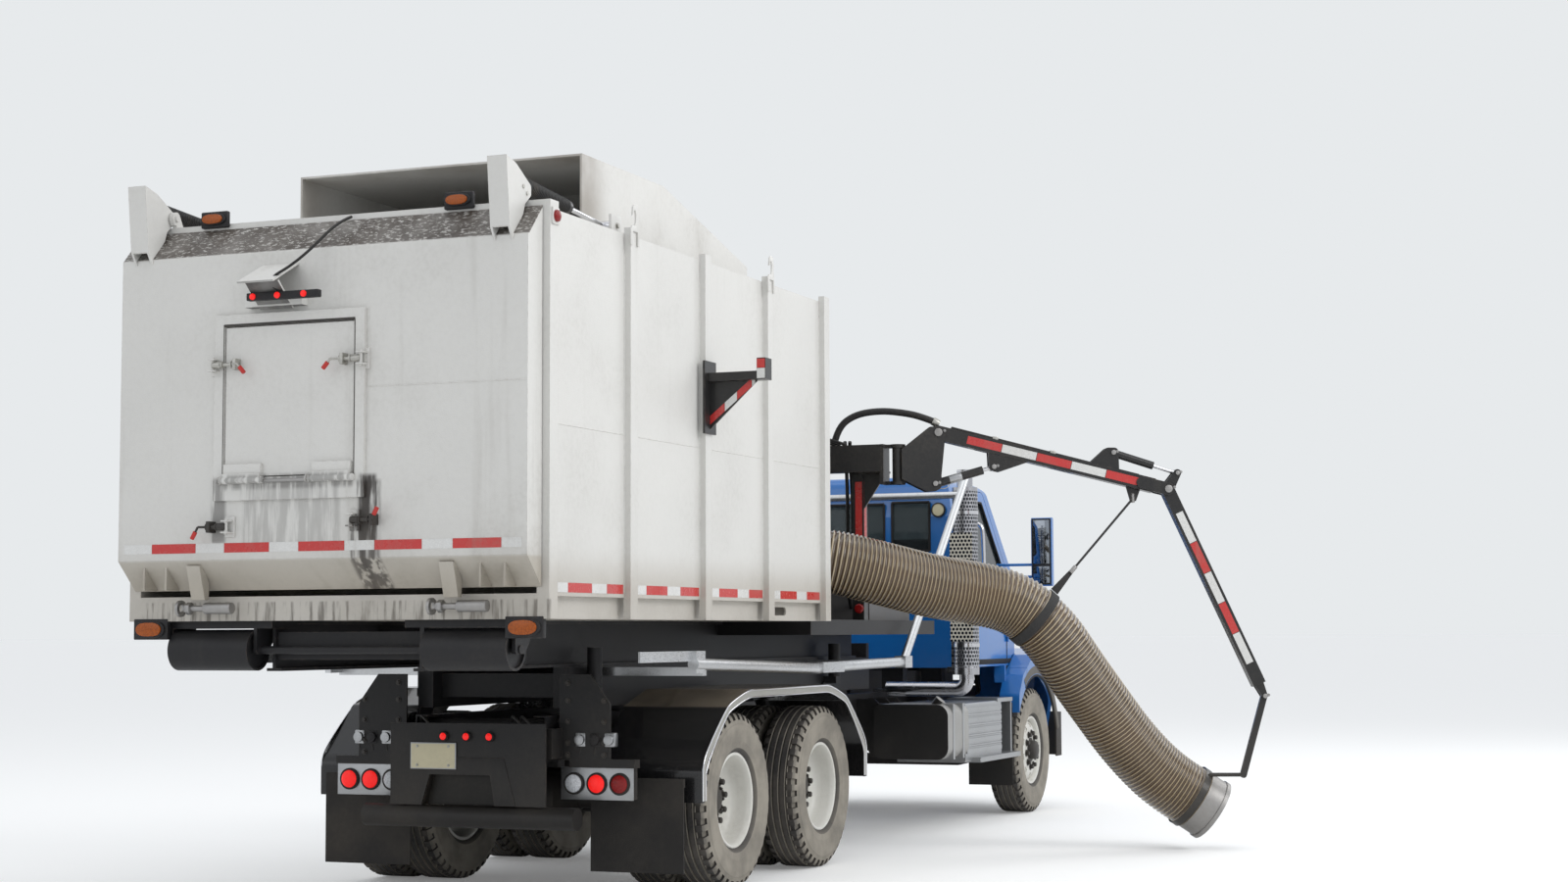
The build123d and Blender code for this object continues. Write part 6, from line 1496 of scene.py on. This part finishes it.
def make_nose():
    """Grille bars, lamp lenses, flares and latches that tilt with the nose."""
    parts = []
    for k in range(9):
        z = 1.010 + 0.064 * k
        half = 0.415 - 0.060 * max(0.0, z - 0.96) / 0.62
        parts += paint([block((10.086, -half, z), (10.112, half, z + 0.020), 0.005)], "chrome")
    rim = [(10.113, -0.432, 0.966), (10.113, 0.432, 0.966), (10.113, 0.372, 1.578), (10.113, -0.372, 1.578)]
    parts += ring_of(rim, 0.013, "chrome")
    for side in (-1, 1):
        lens_face = [(10.1455, side * y, z) for y, z in (
            (0.490, 1.105), (0.672, 1.105), (0.672, 1.228), (0.512, 1.268))]
        if side < 0:
            lens_face.reverse()
        parts += paint([slab(lens_face, (0.008, 0, 0), 0.003)], "clear_lens")
        parts += paint([lathe([(0.0, 0.012), (0.040, 0.010), (0.046, 0.0)], (10.146, side * 0.580, 1.175),
                              (1, 0, 0), 26)], "mirror")
        parts += paint([lathe([(0.030, 0.0), (0.028, 0.010), (0.0, 0.016)], (9.90, side * 1.10, 1.12),
                              (0.5, side * 0.85, 0), 20)], "amber")
        # Seal and dark flare round the wheel arch
        arch_y = side * 1.2085
        angles = [math.radians(-8 + 174 * k / 24) for k in range(25)]
        arc = [(0.632 * math.cos(angle), 0.632 * math.sin(angle)) for angle in angles]
        arc = [(x, z) for x, z in arc if FRONT_AXLE_X + x > 8.79 and AXLE_Z + z > 0.66]
        inner, outer = ([(FRONT_AXLE_X + x * grow, arch_y, AXLE_Z + z * grow) for x, z in arc] for grow in (1.0, 1.075))
        parts += paint([wire(inner, 0.012, 2)], "rubber", 60)
        flare = wire(outer, 0.046, 4)
        flatten(flare, arch_y, 0.22)
        parts += paint([flare], "flare", 60)
        # Rubber hood latch
        parts += paint([block((9.098, side * 0.700, 1.60), (9.130, side * 0.716, 1.70), 0.004)], "rubber")
    assemble("nose_trim", "nose", parts)


# Stack, unit and chassis

def make_stack():
    """Perforated guard beside the stack, clamps and the rain cap's lip."""
    shield = plate([(-1.245, 1.45), (-1.060, 1.45), (-1.060, 2.30), (-1.245, 2.30)], "x", 7.232, 7.236)
    parts = paint([shield], "shield")
    rings = [collar(0.101, 0.1035, -0.014, 0.014, (*STACK, z), (0, 0, 1), 40) for z in (1.42, 1.95, 2.46)]
    rings.append(collar(0.056, 0.064, 0.0, 0.010, (*STACK, 2.786), (0, 0, 1), 32))
    parts += paint(rings, "chrome")
    parts += paint([bar((7.235, -1.23, z), (7.30, -1.21, z), 0.008, 10) for z in (1.60, 2.15)], "zinc")
    assemble("stack_guard", "chassis", parts)


def make_unit():
    """Louvres, lids, bolt rings, flange, filler cap and pipes of the vacuum unit."""
    parts = []
    for side_y, out in ((-0.380, -1), (1.100, 1)):
        root, tip = side_y + out * 0.001, side_y + out * 0.013
        for z in (1.80 + 0.042 * row for row in range(9)):
            for x in (5.15, 5.60):
                parts.append(slab([(x, root, z), (x + 0.34, root, z), (x + 0.34, tip, z - 0.012), (x, tip, z - 0.012)],
                                  (0, 0, 0.004)))
    for x in (5.30, 5.95):
        parts.append(block((x - 0.20, -0.20, 2.381), (x + 0.20, 0.90, 2.392), 0.004))
    made = paint(parts, "unit")
    x, z = BLOWER
    out = (0, -1, 0)
    made += paint(bolts(circle(x, -0.700, z, 0.352, 16), out, 0.012, 0.010), "zinc")
    made += paint([collar(0.220, 0.275, 0.0, -0.016, (x, -0.716, z), (0, 1, 0), 44)], "boom")
    made += paint(bolts(circle(x, -0.716, z, 0.246, 8), out, 0.011, 0.010), "zinc")
    made += paint([collar(0.234, 0.240, -0.016, 0.016, (x, -0.800, z), (0, 1, 0), 44)], "zinc")
    made += paint([lathe([(0.0, 0.03), (0.036, 0.03), (0.040, 0.024), (0.040, 0.0)], (5.62, -0.78, 1.961),
                         (0, 0, 1), 26)], "rubber")
    for pipe in (((5.42, -0.95, 1.75), (5.30, -0.98, 1.80), (5.20, -1.00, 2.10), (5.14, -1.02, 2.50),
                  (5.08, -1.02, 2.80), (5.04, -1.04, 2.86)),
                 ((5.42, -0.90, 1.70), (5.28, -0.93, 1.78), (5.18, -0.97, 2.10), (5.12, -0.99, 2.50),
                  (5.06, -1.00, 2.80), (5.02, -1.01, 2.86))):
        made += paint([wire(pipe, 0.013)], "cable", 60)
    assemble("unit_fittings", "bed", made)


def make_chassis():
    """Drive shaft, air tanks, straps and air lines under the frame, and the step boxes' ribs."""
    parts = paint([bar((4.25, 0.0, 0.640), (7.10, 0.0, 0.78), 0.055, 26, 0.003)], "frame")
    for x in (5.05, 5.65):
        parts += paint([lathe([(0.0, -0.26), (0.07, -0.255), (0.12, -0.23), (0.13, -0.20), (0.13, 0.20), (0.12, 0.23),
                               (0.07, 0.255), (0.0, 0.26)], (x, -0.28, 0.86), (1, 0, 0), 32)], "frame")
    straps = [collar(0.131, 0.134, -0.015, 0.015, (x, -0.28, 0.86), (1, 0, 0), 32) for x in (4.90, 5.20, 5.50, 5.80)]
    for x in (6.78, 7.02):
        for low, high in ((-1.228, -0.628), (0.628, 1.228)):
            straps.append(plate([(low, 0.558), (high, 0.558), (high, 0.977), (low, 0.977)], "x", x - 0.02, x + 0.02))
    parts += paint(straps, "aluminium")
    parts += paint([wire([(2.0, -0.36, 0.96), (3.2, -0.37, 0.98), (4.6, -0.36, 0.94), (6.4, -0.37, 0.97)], 0.010),
                    wire([(2.0, 0.36, 0.96), (3.2, 0.37, 0.94), (4.6, 0.36, 0.97), (6.4, 0.37, 0.95)], 0.010)],
                   "cable", 60)
    # Ribs between the pressed ones of the step boxes, and the lip of the lower step
    for side in (-1, 1):
        ribs = [bar((7.20, side * 1.192, 0.637 + 0.08 * k), (8.13, side * 1.192, 0.637 + 0.08 * k), 0.009, 16)
                for k in range(4)]
        ribs += [bar((7.37, side * 1.255, z), (8.47, side * 1.255, z), 0.005, 12) for z in (0.511, 0.539)]
        parts += paint(ribs, "aluminium")
    assemble("chassis_fittings", "chassis", parts)


# Stage

def make_stage():
    """Pale floor, soft lights, white world and the photograph's camera."""
    clear()
    bpy.ops.mesh.primitive_plane_add(size=1600, location=(0, 0, 0))
    floor = bpy.context.object
    floor.name = "stage_floor"
    material, tree, shader = new_material("Stage floor")
    glow = times(tree, node(tree, "LightPath").outputs["Is Camera Ray"], 0.15)
    feed(tree, shader, Base_Color=(0.86, 0.86, 0.85), Roughness=0.9, Emission_Color=(1.0, 1.0, 1.0),
         Emission_Strength=glow)
    floor.data.materials.append(material)
    # name, place, size, watts
    for name, place, size, power in (
        ("key", (-4.0, -16.0, 13.0), 11.0, 1250.0), ("fill", (-17.0, 7.0, 9.0), 11.0, 150.0),
        ("rim", (13.0, -9.0, 11.0), 9.0, 450.0), ("top", (0.0, 0.0, 14.0), 12.0, 250.0),
    ):
        lamp = bpy.data.lights.new(f"stage_{name}", "AREA")
        lamp.shape = "DISK"
        lamp.size = size
        lamp.energy = power
        light = link(f"stage_{name}", lamp)
        light.location = place
        light.rotation_euler = (Vector((0.0, 0.0, 1.5)) - Vector(place)).to_track_quat("-Z", "Y").to_euler()
    camera_data = bpy.data.cameras.new("photo_camera")
    camera_data.lens = CAMERA_LENS
    camera_data.sensor_width = 36.0
    camera_data.clip_end = 2000.0
    camera = link("photo_camera", camera_data)
    camera.location = CAMERA_PLACE
    yaw, pitch, roll = (Matrix.Rotation(math.radians(angle), 3, axis) for angle, axis in (
        (CAMERA_YAW - 90.0, "Z"), (90.0 + CAMERA_PITCH, "X"), (CAMERA_ROLL, "Z")))
    camera.rotation_euler = (yaw @ pitch @ roll).to_euler()
    bpy.context.scene.camera = camera
    world = bpy.data.worlds.new("stage_world")
    world.use_nodes = True
    tree = world.node_tree
    rays = node(tree, "LightPath")
    seen = maths(tree, "MAXIMUM", rays.outputs["Is Camera Ray"],
                 times(tree, rays.outputs["Is Transmission Ray"], 0.6))
    feed(tree, tree.nodes["Background"], Color=mix(tree, seen, (0.93, 0.96, 1.0), SKY_TONE),
         Strength=maths(tree, "MULTIPLY_ADD", seen, 0.20, 0.80))
    bpy.context.scene.world = world
    bpy.context.scene.view_settings.view_transform = "Standard"


# Add-on

class TruckSizes(bpy.types.PropertyGroup):
    rib_pitch: FloatProperty(name="Rib pitch", description="Distance between two ribs of the suction hose",
                             default=0.0285, min=0.015, max=0.08, unit="LENGTH")


class TruckColours(bpy.types.PropertyGroup):
    box_paint: FloatVectorProperty(name="Box paint", description="Colour of the box and its gate",
                                   default=(0.70, 0.69, 0.66), size=3, min=0.0, max=1.0, subtype="COLOR")
    cab_paint: FloatVectorProperty(name="Cab paint", description="Colour of the cab and the nose",
                                   default=(0.008, 0.145, 0.47), size=3, min=0.0, max=1.0, subtype="COLOR")
    hose_film: FloatVectorProperty(name="Hose film", description="Colour of the hose between its ribs",
                                   default=(0.105, 0.062, 0.030), size=3, min=0.0, max=1.0, subtype="COLOR")
    hose_rib: FloatVectorProperty(name="Hose rib", description="Colour of the hose's ribs",
                                  default=(0.54, 0.44, 0.29), size=3, min=0.0, max=1.0, subtype="COLOR")
    tape_red: FloatVectorProperty(name="Tape red", description="Colour of the red reflective tape",
                                  default=(0.62, 0.02, 0.02), size=3, min=0.0, max=1.0, subtype="COLOR")


class TruckStep:
    """Shared by the operators: runs one function and stops loudly if it makes nothing."""

    bl_options = {"REGISTER", "UNDO"}
    make = None

    def execute(self, context):
        before = len(bpy.data.objects) + len(bpy.data.materials)
        type(self).make()
        if len(bpy.data.objects) + len(bpy.data.materials) == before:
            raise RuntimeError(f"{self.bl_label} made nothing")
        return {"FINISHED"}


class TRUCK_OT_finishes(TruckStep, bpy.types.Operator):
    """Mix the finishes and put them on the CAD pieces"""

    bl_idname = "truck.finishes"
    bl_label = "Finishes"
    make = staticmethod(dress_all)


class TRUCK_OT_wheels(TruckStep, bpy.types.Operator):
    """Make the six wheels with their tyres"""

    bl_idname = "truck.wheels"
    bl_label = "Wheels"
    make = staticmethod(make_wheels)


class TRUCK_OT_hose(TruckStep, bpy.types.Operator):
    """Make the ribbed suction hose"""

    bl_idname = "truck.hose"
    bl_label = "Hose"
    make = staticmethod(make_hose)


class TRUCK_OT_tape(TruckStep, bpy.types.Operator):
    """Put reflective tape on the box, gate and boom rest"""

    bl_idname = "truck.tape"
    bl_label = "Tape"
    make = staticmethod(make_tape)


class TRUCK_OT_boom(TruckStep, bpy.types.Operator):
    """Add the boom's hoses, pins, tape and sling"""

    bl_idname = "truck.boom"
    bl_label = "Boom"
    make = staticmethod(make_boom)


class TRUCK_OT_gate(TruckStep, bpy.types.Operator):
    """Add the gate's latches, lamps, cable and bolts"""

    bl_idname = "truck.gate"
    bl_label = "Gate"
    make = staticmethod(make_gate)


class TRUCK_OT_box(TruckStep, bpy.types.Operator):
    """Add the box's lamps, seams, bolts and cylinder bands"""

    bl_idname = "truck.box"
    bl_label = "Box"
    make = staticmethod(make_box)


class TRUCK_OT_tail(TruckStep, bpy.types.Operator):
    """Add the tail's lamps, connectors and plate"""

    bl_idname = "truck.tail"
    bl_label = "Tail"
    make = staticmethod(make_tail)


class TRUCK_OT_fenders(TruckStep, bpy.types.Operator):
    """Add the bright strips of the fenders"""

    bl_idname = "truck.fenders"
    bl_label = "Fenders"
    make = staticmethod(make_fenders)


class TRUCK_OT_cab(TruckStep, bpy.types.Operator):
    """Add the cab's glass, seals, wipers and lamps"""

    bl_idname = "truck.cab"
    bl_label = "Cab"
    make = staticmethod(make_cab_glass)


class TRUCK_OT_doors(TruckStep, bpy.types.Operator):
    """Add the doors' glass, handles and mirror faces"""

    bl_idname = "truck.doors"
    bl_label = "Doors"
    make = staticmethod(make_doors)


class TRUCK_OT_nose(TruckStep, bpy.types.Operator):
    """Add the grille bars, lenses and arch flares"""

    bl_idname = "truck.nose"
    bl_label = "Nose"
    make = staticmethod(make_nose)


class TRUCK_OT_stack(TruckStep, bpy.types.Operator):
    """Add the exhaust stack's guard and clamps"""

    bl_idname = "truck.stack"
    bl_label = "Stack"
    make = staticmethod(make_stack)


class TRUCK_OT_unit(TruckStep, bpy.types.Operator):
    """Add the vacuum unit's louvres, bolts and pipes"""

    bl_idname = "truck.unit"
    bl_label = "Unit"
    make = staticmethod(make_unit)


class TRUCK_OT_chassis(TruckStep, bpy.types.Operator):
    """Add the drive shaft, air tanks and straps"""

    bl_idname = "truck.chassis"
    bl_label = "Chassis"
    make = staticmethod(make_chassis)


class TRUCK_OT_stage(TruckStep, bpy.types.Operator):
    """Set the floor, lights, world and camera"""

    bl_idname = "truck.stage"
    bl_label = "Stage"
    make = staticmethod(make_stage)


class TRUCK_PT_panel(bpy.types.Panel):
    """Sizes, colours and buttons of the truck in the sidebar"""

    bl_label = "Leaf vacuum truck"
    bl_idname = "TRUCK_PT_panel"
    bl_space_type = "VIEW_3D"
    bl_region_type = "UI"
    bl_category = "Truck"

    def draw(self, context):
        layout = self.layout
        for group in (context.scene.truck_sizes, context.scene.truck_colours):
            for name in group.bl_rna.properties.keys():
                if name not in ("rna_type", "name"):
                    layout.prop(group, name)
        for operator in STEPS:
            layout.operator(operator.bl_idname)


STEPS = (
    TRUCK_OT_finishes,
    TRUCK_OT_wheels,
    TRUCK_OT_hose,
    TRUCK_OT_tape,
    TRUCK_OT_boom,
    TRUCK_OT_gate,
    TRUCK_OT_box,
    TRUCK_OT_tail,
    TRUCK_OT_fenders,
    TRUCK_OT_cab,
    TRUCK_OT_doors,
    TRUCK_OT_nose,
    TRUCK_OT_stack,
    TRUCK_OT_unit,
    TRUCK_OT_chassis,
    TRUCK_OT_stage,
)
CLASSES = (TruckSizes, TruckColours) + STEPS + (TRUCK_PT_panel,)


def register():
    for cls in CLASSES:
        bpy.utils.register_class(cls)
    bpy.types.Scene.truck_sizes = PointerProperty(type=TruckSizes)
    bpy.types.Scene.truck_colours = PointerProperty(type=TruckColours)


def unregister():
    del bpy.types.Scene.truck_sizes
    del bpy.types.Scene.truck_colours
    for cls in reversed(CLASSES):
        bpy.utils.unregister_class(cls)


def main():
    register()
    bpy.ops.truck.finishes()
    bpy.ops.truck.wheels()
    bpy.ops.truck.hose()
    bpy.ops.truck.tape()
    bpy.ops.truck.boom()
    bpy.ops.truck.gate()
    bpy.ops.truck.box()
    bpy.ops.truck.tail()
    bpy.ops.truck.fenders()
    bpy.ops.truck.cab()
    bpy.ops.truck.doors()
    bpy.ops.truck.nose()
    bpy.ops.truck.stack()
    bpy.ops.truck.unit()
    bpy.ops.truck.chassis()
    bpy.ops.truck.stage()
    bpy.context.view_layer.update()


if __name__ == "__main__":
    main()
